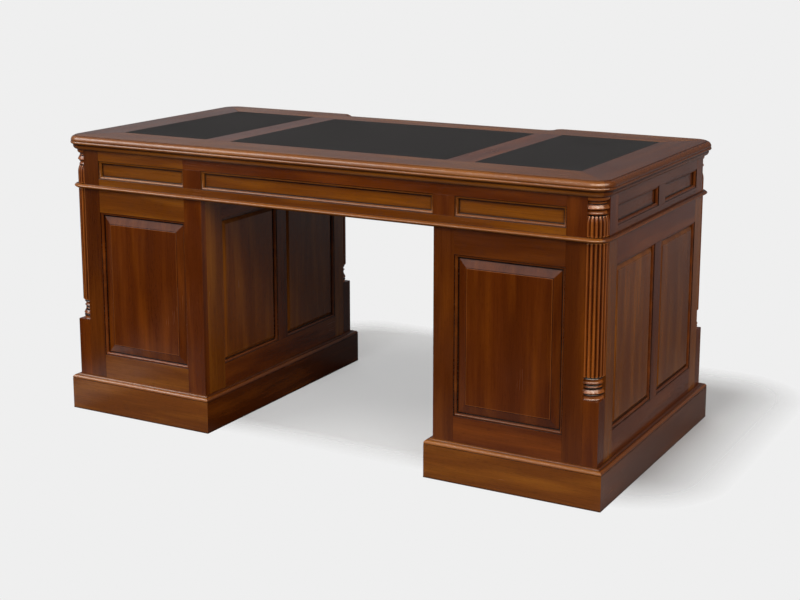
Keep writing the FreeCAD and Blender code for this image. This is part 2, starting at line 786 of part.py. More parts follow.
# ---------------------------------------------------------------- build, check and write

make_top()
make_bed_moulding()
make_base_board()
make_pedestal_walls()
make_frieze_walls()
make_columns()
frieze_posts = make_posts()
make_plinths()
make_drawer_frames()
make_inner_boards()
make_frieze_inside(frieze_posts)
make_drawers()
doc.recompute()

for item in doc.Objects:
    if "Invalid" in item.State or "Error" in item.State:
        raise RuntimeError(f"{item.Name} failed to build: {item.State}")
for label, item in nodes.items():
    if item.Shape.isNull() or not item.Shape.isValid() or not item.Shape.Solids:
        raise RuntimeError(f"{label} has no sound solid")

os.makedirs("parts", exist_ok=True)
for label, item in nodes.items():
    item.Shape.exportStep(f"parts/{label}.step")
print(len(nodes), "sub-parts written")
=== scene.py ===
"""A partners desk: two panelled pedestals, a frieze and a leather-lined top.

Metres. The writer's side looks along +Y, the visitor's side along -Y.
"""

import json
import math

import bmesh
import bpy
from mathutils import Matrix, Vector

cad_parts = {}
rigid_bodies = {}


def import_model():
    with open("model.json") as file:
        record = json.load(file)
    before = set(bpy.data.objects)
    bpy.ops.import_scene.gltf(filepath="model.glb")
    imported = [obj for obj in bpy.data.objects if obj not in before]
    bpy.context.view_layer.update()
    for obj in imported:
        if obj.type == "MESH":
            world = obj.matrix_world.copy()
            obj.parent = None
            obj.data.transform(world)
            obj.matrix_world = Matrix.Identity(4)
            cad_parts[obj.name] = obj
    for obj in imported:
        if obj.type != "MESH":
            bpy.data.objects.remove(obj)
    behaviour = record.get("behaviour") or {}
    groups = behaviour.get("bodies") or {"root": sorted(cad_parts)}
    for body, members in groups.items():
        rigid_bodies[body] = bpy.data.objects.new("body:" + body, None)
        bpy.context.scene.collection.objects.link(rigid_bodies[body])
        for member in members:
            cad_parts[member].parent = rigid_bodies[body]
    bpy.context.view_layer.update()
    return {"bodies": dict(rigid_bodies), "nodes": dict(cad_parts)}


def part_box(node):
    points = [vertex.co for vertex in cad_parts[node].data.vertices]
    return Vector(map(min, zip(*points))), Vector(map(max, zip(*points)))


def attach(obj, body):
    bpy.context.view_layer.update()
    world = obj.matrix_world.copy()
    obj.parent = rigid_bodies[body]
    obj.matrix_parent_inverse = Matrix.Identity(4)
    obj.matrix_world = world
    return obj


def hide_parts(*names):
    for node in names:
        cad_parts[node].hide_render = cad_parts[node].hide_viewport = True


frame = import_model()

# ---- the desk's own lines

# The faces of the case at the ends, the long sides, the kneehole and the middle drawer's recess.
CASE_X = 0.780
CASE_Y = 0.3785
KNEE_X = 0.346
RECESS_Y = 0.3385
# The square notch at a corner, in which a column stands.
NOTCH = 0.040
NOTCH_X = CASE_X - NOTCH
NOTCH_Y = CASE_Y - NOTCH
KNEE_NOTCH_X = KNEE_X + NOTCH
PEDESTAL_Z = (0.100, 0.634)
FRIEZE_Z = (0.646, 0.740)
TOP_Z = (0.7555, 0.780)
BLOCK_TOP = 0.260
# How far the top and the plinths stand out past the case.
REACH = 0.0175
FRAME = 0.020
POST_WALL = 0.014
TINY = 1e-5

# Openings for panels, and the half widths between them.
PANEL_X = (0.402, 0.689)
PANEL_Z = (0.166, 0.571)
SUNK_Z = (0.6635, 0.7135)
MUNTIN = 0.0235
END_STILE = 0.2875
FRIEZE_SHIFT = 0.016
FRIEZE_MUNTIN_X = 0.344

DRAWER_X = (0.400, 0.726)
CENTRE_DRAWER_X = (-0.320, 0.320)
FRIEZE_DRAWER_Z = (0.660, 0.728)
DRAWER_LEVELS = [(0.124, 0.328), (0.346, 0.486), (0.504, 0.614)]

LEATHER_X = 0.680
LEATHER_Y = 0.2735
CENTRE_LEATHER = (0.324, 0.2595)
CROSS_RAIL_X = (0.324, 0.402)

COLUMN_RADIUS = 0.0335
COLUMN_AT = (CASE_X - COLUMN_RADIUS, CASE_Y - COLUMN_RADIUS)
PEDESTAL_MIDDLE = (CASE_X + KNEE_X) / 2
SIDES = (("right", 1), ("left", -1))

# ---- picking and shaping


def only(*pieces):
    """These pieces alone are selected, and the first is active."""
    bpy.ops.object.select_all(action="DESELECT")
    for piece in pieces:
        piece.select_set(True)
    bpy.context.view_layer.objects.active = pieces[0]


def edit(piece):
    """Opens the piece in edit mode with everything selected."""
    only(piece)
    bpy.ops.object.mode_set(mode="EDIT")
    bpy.ops.mesh.select_all(action="SELECT")


def done():
    """Leaves edit mode and gives the piece."""
    bpy.ops.object.mode_set(mode="OBJECT")
    return bpy.context.object


def discard(*pieces):
    only(*pieces)
    bpy.ops.object.delete()


def joined(pieces):
    only(*pieces)
    if len(pieces) > 1:
        bpy.ops.object.join()
    return bpy.context.object


def pick(kind, test):
    """In edit mode, selects the VERT, EDGE or FACE elements that pass the test."""
    bpy.ops.mesh.select_mode(type=kind)
    bpy.ops.mesh.select_all(action="DESELECT")
    mesh = bpy.context.object.data
    shape = bmesh.from_edit_mesh(mesh)
    parts = {"VERT": shape.verts, "EDGE": shape.edges, "FACE": shape.faces}[kind]
    chosen = [part for part in parts if test(part)]
    for part in chosen:
        part.select_set(True)
    bmesh.update_edit_mesh(mesh)


def mark(wear_and_painted_light):
    """In edit mode, notes how pale or dark the selected points are painted: above 0 rubbed wood and
    painted highlight, below 0 wax, dark joints and painted shade.
    """
    mesh = bpy.context.object.data
    shape = bmesh.from_edit_mesh(mesh)
    layer = shape.verts.layers.float.get("wear_and_painted_light") or shape.verts.layers.float.new("wear_and_painted_light")
    for point in shape.verts:
        if point.select:
            point[layer] = wear_and_painted_light
    bmesh.update_edit_mesh(mesh)


def on_side(way, first, last):
    """The span between two places in X, mirrored to the desk's left where way is -1."""
    return sorted((way * first, way * last))


def middle_of(item, axis):
    return sum(point.co[axis] for point in item.verts) / len(item.verts)


def cuboid(x, y, z):
    """A block between those places, ready for edit mode."""
    low, high = (Vector(corner) for corner in zip(x, y, z))
    bpy.ops.mesh.primitive_cube_add(size=1, location=(low + high) / 2)
    piece = bpy.context.object
    piece.scale = high - low
    bpy.ops.object.transform_apply()
    return piece


def sheet_facing(x, z):
    """A flat rectangle at y 0 that looks along -Y."""
    centre = ((x[0] + x[1]) / 2, 0, (z[0] + z[1]) / 2)
    bpy.ops.mesh.primitive_plane_add(size=1, location=centre, rotation=(math.pi / 2, 0, 0))
    piece = bpy.context.object
    piece.scale = (x[1] - x[0], z[1] - z[0], 1)
    bpy.ops.object.transform_apply()
    return piece


def start_point(place):
    """A piece of one point, left selected in edit mode."""
    bpy.ops.mesh.primitive_plane_add(size=0.01, location=place)
    bpy.ops.object.transform_apply()
    bpy.ops.object.mode_set(mode="EDIT")
    bpy.ops.mesh.select_mode(type="VERT")
    bpy.ops.mesh.select_all(action="SELECT")
    bpy.ops.mesh.merge(type="CENTER")


def draw_profile(points):
    """A line through the points, each (place, paint), left selected in edit mode. The paint marks rubbing
    with painted highlight above 0 and wax with painted shade below 0.
    """
    here = Vector(points[0][0])
    start_point(here)
    mark(points[0][1])
    for place, wear_and_painted_light in points[1:]:
        there = Vector(place)
        bpy.ops.mesh.extrude_vertices_move(TRANSFORM_OT_translate={"value": there - here})
        mark(wear_and_painted_light)
        here = there
    bpy.ops.mesh.select_all(action="SELECT")


def sink(profile):
    """Insets the chosen face along a profile of (in, deep, paint) in millimetres from its edge, the paint
    being rubbing with painted highlight above 0 and wax with painted shade below 0.
    """
    was_in, was_deep = 0, 0
    mark(profile[0][2])
    for inward, deep, wear_and_painted_light in profile[1:]:
        bpy.ops.mesh.inset(thickness=(inward - was_in) / 1000, depth=(was_deep - deep) / 1000,
                           use_even_offset=True, use_boundary=True)
        mark(wear_and_painted_light)
        was_in, was_deep = inward, deep


def turn_spin(centre, axis, degrees, steps):
    """Spins the selection about an axis; above 0 is anticlockwise as seen from the axis's head."""
    bpy.ops.mesh.spin(steps=steps, angle=-math.radians(degrees), center=centre, axis=axis)


def heal():
    """Merges doubled points and turns the faces outwards."""
    bpy.ops.mesh.select_all(action="SELECT")
    bpy.ops.mesh.remove_doubles(threshold=TINY)
    bpy.ops.mesh.normals_make_consistent(inside=False)


def bow(start, end, rise, steps, wear_and_painted_light):
    """Points of a bulging curve from start to end, each (out, height, paint); the paint is strongest at
    the middle, as rubbing with a painted highlight on the crest.
    """
    run = Vector(end) - Vector(start)
    out = Vector((run.y, -run.x)).normalized() * rise
    points = []
    for i in range(steps + 1):
        t = i / steps
        place = Vector(start) + run * t + out * math.sin(math.pi * t)
        points.append((place.x, place.y, wear_and_painted_light * math.sin(math.pi * t)))
    return points


def quarter(start, end, hollow, steps, wear_and_painted_light):
    """Points of a quarter round from start to end. It leaves start level, or upright where hollow. Its
    paint is strongest halfway round, as rubbing with a painted highlight on the round.
    """
    points = []
    for i in range(steps + 1):
        angle = math.pi / 2 * i / steps
        along, down = math.sin(angle), 1 - math.cos(angle)
        if hollow:
            along, down = down, along
        points.append((start[0] + (end[0] - start[0]) * along,
                       start[1] + (end[1] - start[1]) * down,
                       wear_and_painted_light * math.sin(2 * angle)))
    return points


# ---- finishing a piece

board_count = 0
# Steps of this size give neighbouring boards numbers that lie far apart between 0 and 1.
BOARD_STEP = 0.618034
SIDE_WOOD = {"x": "lighter_mahogany", "y": "darker_mahogany"}


def note_boards(piece, counts):
    """Gives each face the number of its board, from the board's count."""
    numbers = piece.data.attributes.new("board", "FLOAT", "FACE")
    numbers.data.foreach_set("value", [count * BOARD_STEP % 1 for count in counts])
    return piece


def timber(piece, grain, wood="mahogany"):
    """Cuts the piece from its own board: the grain's way, and a number that sets its figure and tone."""
    global board_count
    board_count += 1
    piece.data.materials.clear()
    piece.data.materials.append(WOODS[wood, grain])
    return note_boards(piece, [board_count] * len(piece.data.polygons))


def timber_by_side(piece):
    """Cuts a mitred piece from boards that run along its sides, each with a number of its own."""
    global board_count
    piece.data.materials.clear()
    for grain in "xy":
        piece.data.materials.append(WOODS[SIDE_WOOD[grain], grain])
    counts = []
    for face in piece.data.polygons:
        ends = abs(face.center.x) - CASE_X > abs(face.center.y) - CASE_Y
        along_y = abs(face.normal.x) > abs(face.normal.y) if abs(face.normal.z) < 0.99 else ends
        side = face.center.x if along_y else face.center.y
        face.material_index = 1 if along_y else 0
        counts.append(board_count + 1 + 2 * along_y + (side > 0))
    board_count += 4
    return note_boards(piece, counts)


def board(x, y, z, grain, arris=0.0004, wood="mahogany"):
    """A planed board with its edges eased."""
    piece = cuboid(x, y, z)
    edit(piece)
    bpy.ops.mesh.bevel(offset=arris, segments=2, affect="EDGES")
    return timber(done(), grain, wood)


def stand(piece, turn, place):
    """Turns a piece about the desk's upright middle line, then moves it; both end up in its mesh."""
    only(piece)
    piece.rotation_euler = (0, 0, math.radians(turn))
    piece.location = place
    bpy.ops.object.transform_apply()
    return piece


def copy_of(piece, turn=0, place=(0, 0, 0)):
    """A copy with its own mesh, turned and moved."""
    only(piece)
    bpy.ops.object.duplicate()
    return stand(bpy.context.object, turn, place)


def assemble(name, members, node, body="desk", smooth=38):
    """Joins the members into one named piece that stands for the node and rides on the body."""
    piece = joined(members)
    piece.name = name
    piece.data.name = name
    bpy.ops.object.shade_smooth_by_angle(angle=math.radians(smooth))
    weighting = piece.modifiers.new("even shading", "WEIGHTED_NORMAL")
    weighting.keep_sharp = True
    weighting.weight = 90
    bpy.ops.object.modifier_apply(modifier=weighting.name)
    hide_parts(node)
    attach(piece, body)
    return piece


# ---- materials


def add(tree, kind, sockets=None, **settings):
    """A shader node with its settings. A socket is given a value or the output that feeds it."""
    item = tree.nodes.new("ShaderNode" + kind)
    for name, value in settings.items():
        setattr(item, name, value)
    for name, value in (sockets or {}).items():
        if isinstance(value, bpy.types.NodeSocket):
            tree.links.new(value, item.inputs[name])
        else:
            item.inputs[name].default_value = value
    return item


def blend(tree, factor, first, second, mode="MIX"):
    item = add(tree, "Mix", {0: factor, 6: first, 7: second}, data_type="RGBA", blend_type=mode)
    return item.outputs[2]


def figure(tree, operation, first, second=0):
    return add(tree, "Math", {0: first, 1: second}, operation=operation).outputs[0]


def vector(tree, operation, first, second=(0, 0, 0)):
    return add(tree, "VectorMath", {0: first, 1: second}, operation=operation).outputs[0]


def part_of(tree, place, axis):
    return add(tree, "SeparateXYZ", {0: place}).outputs[axis]


def length_of(tree, place):
    return add(tree, "VectorMath", {0: place}, operation="LENGTH").outputs["Value"]


def spread(tree, value, low, high, new_low=0, new_high=1):
    sockets = {"Value": value, "From Min": low, "From Max": high, "To Min": new_low, "To Max": new_high}
    return add(tree, "MapRange", sockets).outputs["Result"]


def cloud(tree, place, scale, detail=2, roughness=0.5):
    """Noise stretched by a scale along the grain (first) and across it."""
    stretched = vector(tree, "MULTIPLY", place, scale)
    return add(tree, "TexNoise", {"Vector": stretched, "Scale": 1, "Detail": detail,
                                  "Roughness": roughness}).outputs["Fac"]


def colour(red, green, blue):
    """A colour from its usual 0 to 255 numbers."""
    return tuple((c / 255 / 12.92 if c <= 10 else ((c / 255 + 0.055) / 1.055) ** 2.4)
                 for c in (red, green, blue)) + (1,)


def grey(value):
    return (value, value, value, 1)


def new_material(name):
    material = bpy.data.materials.new(name)
    material.use_nodes = True
    material.node_tree.nodes.clear()
    return material, material.node_tree


def new_group(name, inputs, outputs):
    group = bpy.data.node_groups.new(name, "ShaderNodeTree")
    kinds = {"vector": "NodeSocketVector", "colour": "NodeSocketColor", "number": "NodeSocketFloat"}
    for label, kind in inputs.items():
        group.interface.new_socket(label, in_out="INPUT", socket_type=kinds[kind])
    for label, kind in outputs.items():
        group.interface.new_socket(label, in_out="OUTPUT", socket_type=kinds[kind])
    return group, group.nodes.new("NodeGroupInput").outputs, group.nodes.new("NodeGroupOutput").inputs


def cover(tree, shade, roughness, height, strength, distance, ior):
    """The material's surface, with a relief of that strength and depth made by the height."""
    bump = add(tree, "Bump", {"Height": height, "Strength": strength, "Distance": distance})
    skin = add(tree, "BsdfPrincipled", {"Base Color": shade, "Roughness": roughness,
                                        "Normal": bump.outputs[0], "IOR": ior})
    add(tree, "OutputMaterial", {"Surface": skin.outputs[0]})


def make_wood_figure():
    """The figure of polished timber, grain along X: bands, fibres, pores and the tone of each board."""
    group, given, result = new_group(
        "wood figure",
        {"Place": "vector", "Board": "number", "Wear_And_Painted_Light": "number", "Dark": "colour", "Middle": "colour",
         "Light": "colour", "Rubbed_And_Painted_Highlight": "colour", "Wax_And_Painted_Shade": "colour"},
        {"Colour": "colour", "Roughness": "number", "Height": "number"})
    shift = add(group, "VectorMath", {0: (37, 5.3, 7.1), "Scale": given["Board"]}, operation="SCALE")
    place = vector(group, "ADD", given["Place"], shift.outputs[0])
    wander = cloud(group, place, (1.4, 5, 5), 2)
    off_middle = figure(group, "SUBTRACT", wander, 0.5)
    sway = add(group, "VectorMath", {0: (0, 0.022, 0.022), "Scale": off_middle}, operation="SCALE")
    along = vector(group, "ADD", place, sway.outputs[0])

    bands = spread(group, cloud(group, along, (0.5, 11, 11), 3, 0.5), 0.26, 0.74)
    streaks = spread(group, cloud(group, along, (1.3, 80, 80), 3, 0.6), 0.3, 0.7)
    fibres = spread(group, cloud(group, along, (7, 420, 420), 2, 0.6), 0.3, 0.7)
    pores = spread(group, cloud(group, along, (60, 1700, 1700), 0), 0.66, 0.74)
    ribbon = spread(group, cloud(group, along, (3.2, 26, 26), 2), 0.45, 0.75)

    shade = blend(group, bands, given["Dark"], given["Middle"])
    shade = blend(group, figure(group, "MULTIPLY", ribbon, 0.6), shade, given["Light"])
    shade = blend(group, figure(group, "MULTIPLY", streaks, 0.24), shade, given["Dark"])
    tone = spread(group, figure(group, "FRACT", figure(group, "MULTIPLY", given["Board"], 7)),
                  0, 1, 0.95, 1.06)
    fine = figure(group, "MULTIPLY", spread(group, fibres, 0, 1, 0.88, 1.1), tone)
    fine = figure(group, "MULTIPLY", fine, spread(group, pores, 0, 1, 1, 0.7))
    dimming = add(group, "CombineColor", {0: fine, 1: fine, 2: fine}).outputs[0]
    shade = blend(group, 1, shade, dimming, "MULTIPLY")
    # Points marked above 0 turn towards the rubbed colour, for rubbing and painted highlight, and those
    # below 0 towards the wax colour, for wax, dark joints and painted shade.
    shade = blend(group, spread(group, given["Wear_And_Painted_Light"], 0, 1, 0, 0.5), shade, given["Rubbed_And_Painted_Highlight"])
    shade = blend(group, spread(group, given["Wear_And_Painted_Light"], 0, -1), shade, given["Wax_And_Painted_Shade"])
    group.links.new(shade, result["Colour"])

    smear = cloud(group, given["Place"], (5, 5, 5), 3)
    rough = figure(group, "ADD", spread(group, smear, 0.3, 0.7, -0.05, 0.06),
                   spread(group, fibres, 0, 1, 0.16, 0.23))
    group.links.new(figure(group, "SUBTRACT", rough, figure(group, "MULTIPLY", given["Wear_And_Painted_Light"], 0.08)),
                    result["Roughness"])
    relief = figure(group, "SUBTRACT", fibres, figure(group, "MULTIPLY", pores, 1.5))
    group.links.new(relief, result["Height"])
    return group


GRAIN_TURN = {"x": (0, 0, 0), "y": (0, 0, math.pi / 2), "z": (0, math.pi / 2, 0)}


def palette(*shades):
    """A wood's colours: its dark, middle and light figure, where it is rubbed and painted with highlight,
    and where wax lies and shade is painted.
    """
    return dict(zip(("Dark", "Middle", "Light", "Rubbed_And_Painted_Highlight", "Wax_And_Painted_Shade"), (colour(*shade) for shade in shades)))


PALETTES = {
    "mahogany": palette((66, 24, 1), (92, 39, 3), (121, 59, 6), (176, 100, 40), (9, 3, 1)),
    "lighter_mahogany": palette((86, 40, 3), (114, 60, 8), (142, 84, 17), (196, 126, 62), (10, 4, 1)),
    "panel_mahogany": palette((78, 34, 2), (105, 52, 6), (133, 75, 14), (192, 120, 56), (10, 4, 1)),
    "darker_mahogany": palette((60, 22, 1), (86, 38, 4), (112, 56, 8), (160, 92, 40), (8, 3, 1)),
    "turned_mahogany": palette((52, 17, 1), (100, 42, 4), (148, 76, 14), (208, 122, 54), (18, 7, 2)),
    "drawer_wood": palette((120, 82, 46), (160, 118, 72), (184, 142, 92), (200, 160, 110), (60, 40, 24)),
}
POLISHED_IOR = 1.5
PLAIN_IOR = 1.35
LEATHER_IOR = 1.24


def make_wood(wood, grain, figure_group):
    """A timber material whose grain runs along that axis."""
    material, tree = new_material(f"{wood} along {grain}")
    place = add(tree, "TexCoord").outputs["Object"]
    turned = add(tree, "Mapping", {"Vector": place, "Rotation": GRAIN_TURN[grain]}).outputs[0]
    group = tree.nodes.new("ShaderNodeGroup")
    group.node_tree = figure_group
    tree.links.new(turned, group.inputs["Place"])
    for label in ("Board", "Wear_And_Painted_Light"):
        noted = add(tree, "Attribute", attribute_name=label.lower())
        tree.links.new(noted.outputs["Fac"], group.inputs[label])
    for label, value in PALETTES[wood].items():
        group.inputs[label].default_value = value
    ior = PLAIN_IOR if wood == "drawer_wood" else POLISHED_IOR
    cover(tree, *group.outputs, strength=0.25, distance=0.0002, ior=ior)
    return material


def make_leather():
    """Black desk leather: a fine pebble grain, faint patches and hardly any sheen."""
    material, tree = new_material("black desk leather")
    place = add(tree, "TexCoord").outputs["Object"]
    pebble = add(tree, "TexVoronoi", {"Vector": place, "Scale": 620}, feature="F1").outputs["Distance"]
    patches = spread(tree, cloud(tree, place, (5, 5, 5), 4), 0.3, 0.7)
    grain = cloud(tree, place, (900, 900, 900), 2)
    shade = blend(tree, patches, colour(29, 29, 31), colour(35, 35, 37))
    shade = blend(tree, spread(tree, pebble, 0.2, 0.8, 0, 0.3), shade, colour(12, 12, 12))
    height = figure(tree, "SUBTRACT", figure(tree, "MULTIPLY", grain, 0.4), pebble)
    roughness = spread(tree, patches, 0, 1, 0.9, 1)
    cover(tree, shade, roughness, height, strength=0.5, distance=0.0004, ior=LEATHER_IOR)
    return material


wood_figure = make_wood_figure()
WOODS = {(wood, grain): make_wood(wood, grain, wood_figure) for wood in PALETTES for grain in "xyz"}
LEATHER = make_leather()

# ---- mouldings that run round the case

# The outermost edge seen from above, and the radii of its corners at the desk's ends, at the kneehole and,
# hollow, where the back is set back.
EDGE_X = CASE_X + REACH
EDGE_Y = CASE_Y + REACH
EDGE_KNEE_X = KNEE_X - REACH
EDGE_BACK_Y = RECESS_Y + REACH
END_RADIUS = 0.051
KNEE_RADIUS = 0.032
HOLLOW_RADIUS = 0.007
END_X, END_Y = EDGE_X - END_RADIUS, EDGE_Y - END_RADIUS
KNEE_TURN_X, KNEE_TURN_Y = EDGE_KNEE_X + KNEE_RADIUS, EDGE_Y - KNEE_RADIUS
HOLLOW_X, HOLLOW_Y = EDGE_KNEE_X - HOLLOW_RADIUS, EDGE_BACK_Y + HOLLOW_RADIUS
# It is drawn anticlockwise from the visitor's left. Each row is where a straight run ends, then the centre
# and the degrees of the turn after it.
PLAN_START = (-END_X, -EDGE_Y)
PLAN = [
    ((END_X, -EDGE_Y), (END_X, -END_Y), 90),
    ((EDGE_X, END_Y), (END_X, END_Y), 90),
    ((KNEE_TURN_X, EDGE_Y), (KNEE_TURN_X, KNEE_TURN_Y), 90),
    ((EDGE_KNEE_X, HOLLOW_Y), (HOLLOW_X, HOLLOW_Y), -90),
    ((-HOLLOW_X, EDGE_BACK_Y), (-HOLLOW_X, HOLLOW_Y), -90),
    ((-EDGE_KNEE_X, KNEE_TURN_Y), (-KNEE_TURN_X, KNEE_TURN_Y), 90),
    ((-END_X, EDGE_Y), (-END_X, END_Y), 90),
    ((-EDGE_X, -END_Y), (-END_X, -END_Y), 90),
]
TURN_STEPS = 10


def turned_point(point, centre, degrees):
    angle = math.radians(degrees)
    x, y = point[0] - centre[0], point[1] - centre[1]
    return (centre[0] + x * math.cos(angle) - y * math.sin(angle),
            centre[1] + x * math.sin(angle) + y * math.cos(angle))


def run_round(top, profile):
    """A slab with its top at that height. Its edge is (out from the case, up from the top, paint) in mm.
    """
    start_x, start_y = PLAN_START
    draw_profile([((start_x, start_y + REACH - out / 1000, top + up / 1000), wear_and_painted_light)
                  for out, up, wear_and_painted_light in profile])
    here = PLAN_START
    for run_end, centre, degrees in PLAN:
        step = (run_end[0] - here[0], run_end[1] - here[1], 0)
        bpy.ops.mesh.extrude_region_move(TRANSFORM_OT_translate={"value": step})
        turn_spin((*centre, 0), (0, 0, 1), degrees, TURN_STEPS)
        here = turned_point(run_end, centre, degrees)
    heal()
    for face_z in (top, top + profile[-1][1] / 1000):
        pick("EDGE", lambda edge: edge.is_boundary and abs(middle_of(edge, 2) - face_z) < TINY)
        bpy.ops.mesh.edge_face_add()
    heal()
    return done()


# In each edge the paint below 0 is wax with painted shade, in the quirks and where the members meet and
# overhang, and above 0 rubbing with a painted highlight on the rounds.
TOP_EDGE = (
    [(4.6, 0, 0), (4.9, -0.3, 0.2), (5, -1.4, -0.8), (5.6, -1.6, -0.3)]
    + quarter((5.6, -1.6), (16.3, -14.2), False, 10, 0.35)
    + [(16.1, -15, -0.1), (15, -15.3, -0.6), (15, -15.8, -0.3)]
    + bow((15.1, -16), (15.2, -23.1), -2.2, 7, 0.3)
    + [(13.6, -23.8, -0.3), (11, -24.5, -0.5)]
)
BED_EDGE = (
    [(10.6, 0, -0.5), (10.2, -3.1, -0.5), (10.9, -3.5, -0.2)]
    + quarter((10.9, -3.5), (1.2, -14.1), True, 7, 0.3)
    + [(0.6, -15.3, -0.8), (-6, -15.5, -0.6)]
)
WAIST_EDGE = (
    [(-4, 0, 0), (3.6, 0, -0.5), (4.2, -0.4, -0.4)]
    + bow((4.6, -0.3), (4.6, -11.4), -6.2, 10, 0.45)
    + [(3.8, -11.7, -0.8), (3, -12, -0.6)]
)
# The arrises at the joints of the top are eased this much, and wax has gathered between these depths.
JOINT_ARRIS = 0.0007
WAX_DEPTH = (0.0006, 0.0012)
# They are eased over this share of a border's width. The rest is moulding.
EASED_SHARE = 0.85
# Within this x and behind this y the back border's moulding is set back, and stays as it is.
SET_BACK = (LEATHER_X - 0.2, LEATHER_Y + 0.02)


def cut(piece, place, across):
    """Saws the piece at the plane through place, square to across, and keeps the side across points to."""
    edit(piece)
    bpy.ops.mesh.bisect(plane_co=place, plane_no=across, use_fill=True, clear_inner=True)
    return done()


def make_top():
    """Four mitred border boards with their moulded edges, a lip at the back, and two cross rails."""
    slab = run_round(TOP_Z[1], TOP_EDGE)
    rise = (EDGE_X - LEATHER_X, EDGE_Y - LEATHER_Y)

    def at_joint(edge):
        x, y = middle_of(edge, 0), middle_of(edge, 1)
        return (all(abs(point.co.z - TOP_Z[1]) < TINY for point in edge.verts)
                and any(abs(abs(near.normal.z) - 1) > 0.2 for near in edge.link_faces)
                and abs(x) < LEATHER_X + rise[0] * EASED_SHARE
                and abs(y) < LEATHER_Y + rise[1] * EASED_SHARE
                and not (y > SET_BACK[1] and abs(x) < SET_BACK[0]))

    def at_arris(point):
        return (WAX_DEPTH[0] < TOP_Z[1] - point.co.z < WAX_DEPTH[1]
                and any(0.3 < near.normal.z < 0.9 for near in point.link_faces))

    members = []
    for side, way in (("x", -1), ("x", 1), ("y", -1), ("y", 1)):
        piece = copy_of(slab)
        # Boards along X and boards along Y keep opposite sides of a mitre.
        keep = 1 if side == "x" else -1
        for end in (-1, 1):
            x, y = (end, way) if side == "x" else (way, end)
            cut(piece, (x * LEATHER_X, y * LEATHER_Y, 0), (-keep * x * rise[1], keep * y * rise[0], 0))
        face = (0, way, 0) if side == "x" else (way, 0, 0)
        cut(piece, (way * LEATHER_X, way * LEATHER_Y, 0), face)
        edit(piece)
        pick("EDGE", at_joint)
        bpy.ops.mesh.bevel(offset=JOINT_ARRIS, segments=1, affect="EDGES")
        mark(0)
        pick("VERT", at_arris)
        mark(-1)
        done()
        members.append(timber(piece, side, SIDE_WOOD[side]))
    discard(slab)
    centre_x, centre_back = CENTRE_LEATHER
    members.append(board((-centre_x, centre_x), (centre_back, LEATHER_Y), TOP_Z, "x", arris=0.0002,
                         wood=SIDE_WOOD["x"]))
    assemble("top_border_boards", members, "top_borders", smooth=32)
    inner, far = CROSS_RAIL_X
    rails = [board(span, (-LEATHER_Y, LEATHER_Y), TOP_Z, "y", arris=0.0005)
             for span in ((inner, far), (-far, -inner))]
    assemble("top_crossing_rails", rails, "top_cross_rails")


def make_mouldings():
    bed = timber_by_side(run_round(TOP_Z[0], BED_EDGE))
    assemble("under_moulding", [bed], "bed_moulding")
    waist = timber_by_side(run_round(FRIEZE_Z[0], WAIST_EDGE))
    assemble("waist_moulding", [waist], "case_base_board")


PLINTH_THICKNESS = 0.036
# The plinth's paint: a painted shadow at the floor in its lowest few millimetres, wax with painted shade
# in the quirks and where it meets the case, and rubbing with a painted highlight on the nose.
PLINTH_EDGE = (
    [(17.5, 0, -1), (17.5, 4.5, 0), (17.5, 86.4, 0), (16.7, 87, -0.8), (16.7, 87.8, -0.7)]
    + quarter((9.6, 97.4), (17.4, 88.4), False, 6, 0.5)[::-1]
    + [(8.2, 97.4, 0), (7.6, 96.8, -0.9), (7, 97.4, -0.7)]
    + quarter((2.6, 99.9), (6.8, 97.6), False, 3, 0)[::-1]
    + [(-2, 100, -0.6)]
)


def make_plinth(side, way):
    """A mitred skirting on the floor, hollow, with a rounded nose under a small cove."""
    middle = (way * PEDESTAL_MIDDLE, 0)
    half = ((CASE_X - KNEE_X) / 2, CASE_Y)
    piece = cuboid((middle[0] - half[0] - REACH, middle[0] + half[0] + REACH),
                   (-half[1] - REACH, half[1] + REACH), (0, PLINTH_EDGE[1][1] / 1000))
    edit(piece)
    mark(PLINTH_EDGE[0][2])
    pick("FACE", lambda face: face.normal.z > 0.9)
    mark(PLINTH_EDGE[1][2])
    for (was_out, was_z, _), (out, z, wear_and_painted_light) in zip(PLINTH_EDGE[1:], PLINTH_EDGE[2:]):
        bpy.ops.mesh.extrude_region_move(TRANSFORM_OT_translate={"value": (0, 0, (z - was_z) / 1000)})
        size = [(edge + out / 1000) / (edge + was_out / 1000) for edge in half]
        bpy.ops.transform.resize(value=(*size, 1), center_override=(*middle, 0))
        mark(wear_and_painted_light)
    tall = PEDESTAL_Z[0] / 2
    pick("EDGE", lambda edge: abs(edge.verts[0].co.z - edge.verts[1].co.z) > tall)
    bpy.ops.mesh.bevel(offset=0.0007, segments=2, affect="EDGES")
    upper_width = PLINTH_THICKNESS - REACH + PLINTH_EDGE[-1][0] / 1000
    for face_z, width in ((0, PLINTH_THICKNESS), (PEDESTAL_Z[0], upper_width)):
        pick("FACE", lambda face: abs(face.normal.z) > 0.9 and abs(middle_of(face, 2) - face_z) < TINY
             and face.calc_area() > 0.1)
        bpy.ops.mesh.inset(thickness=width, use_even_offset=True)
        bpy.ops.mesh.delete(type="ONLY_FACE")
    pick("EDGE", lambda edge: edge.is_boundary)
    bpy.ops.mesh.bridge_edge_loops()
    piece = timber_by_side(done())
    assemble(f"{side}_skirting", [piece], f"{side}_pedestal_plinth")


# ---- framed walls and panels

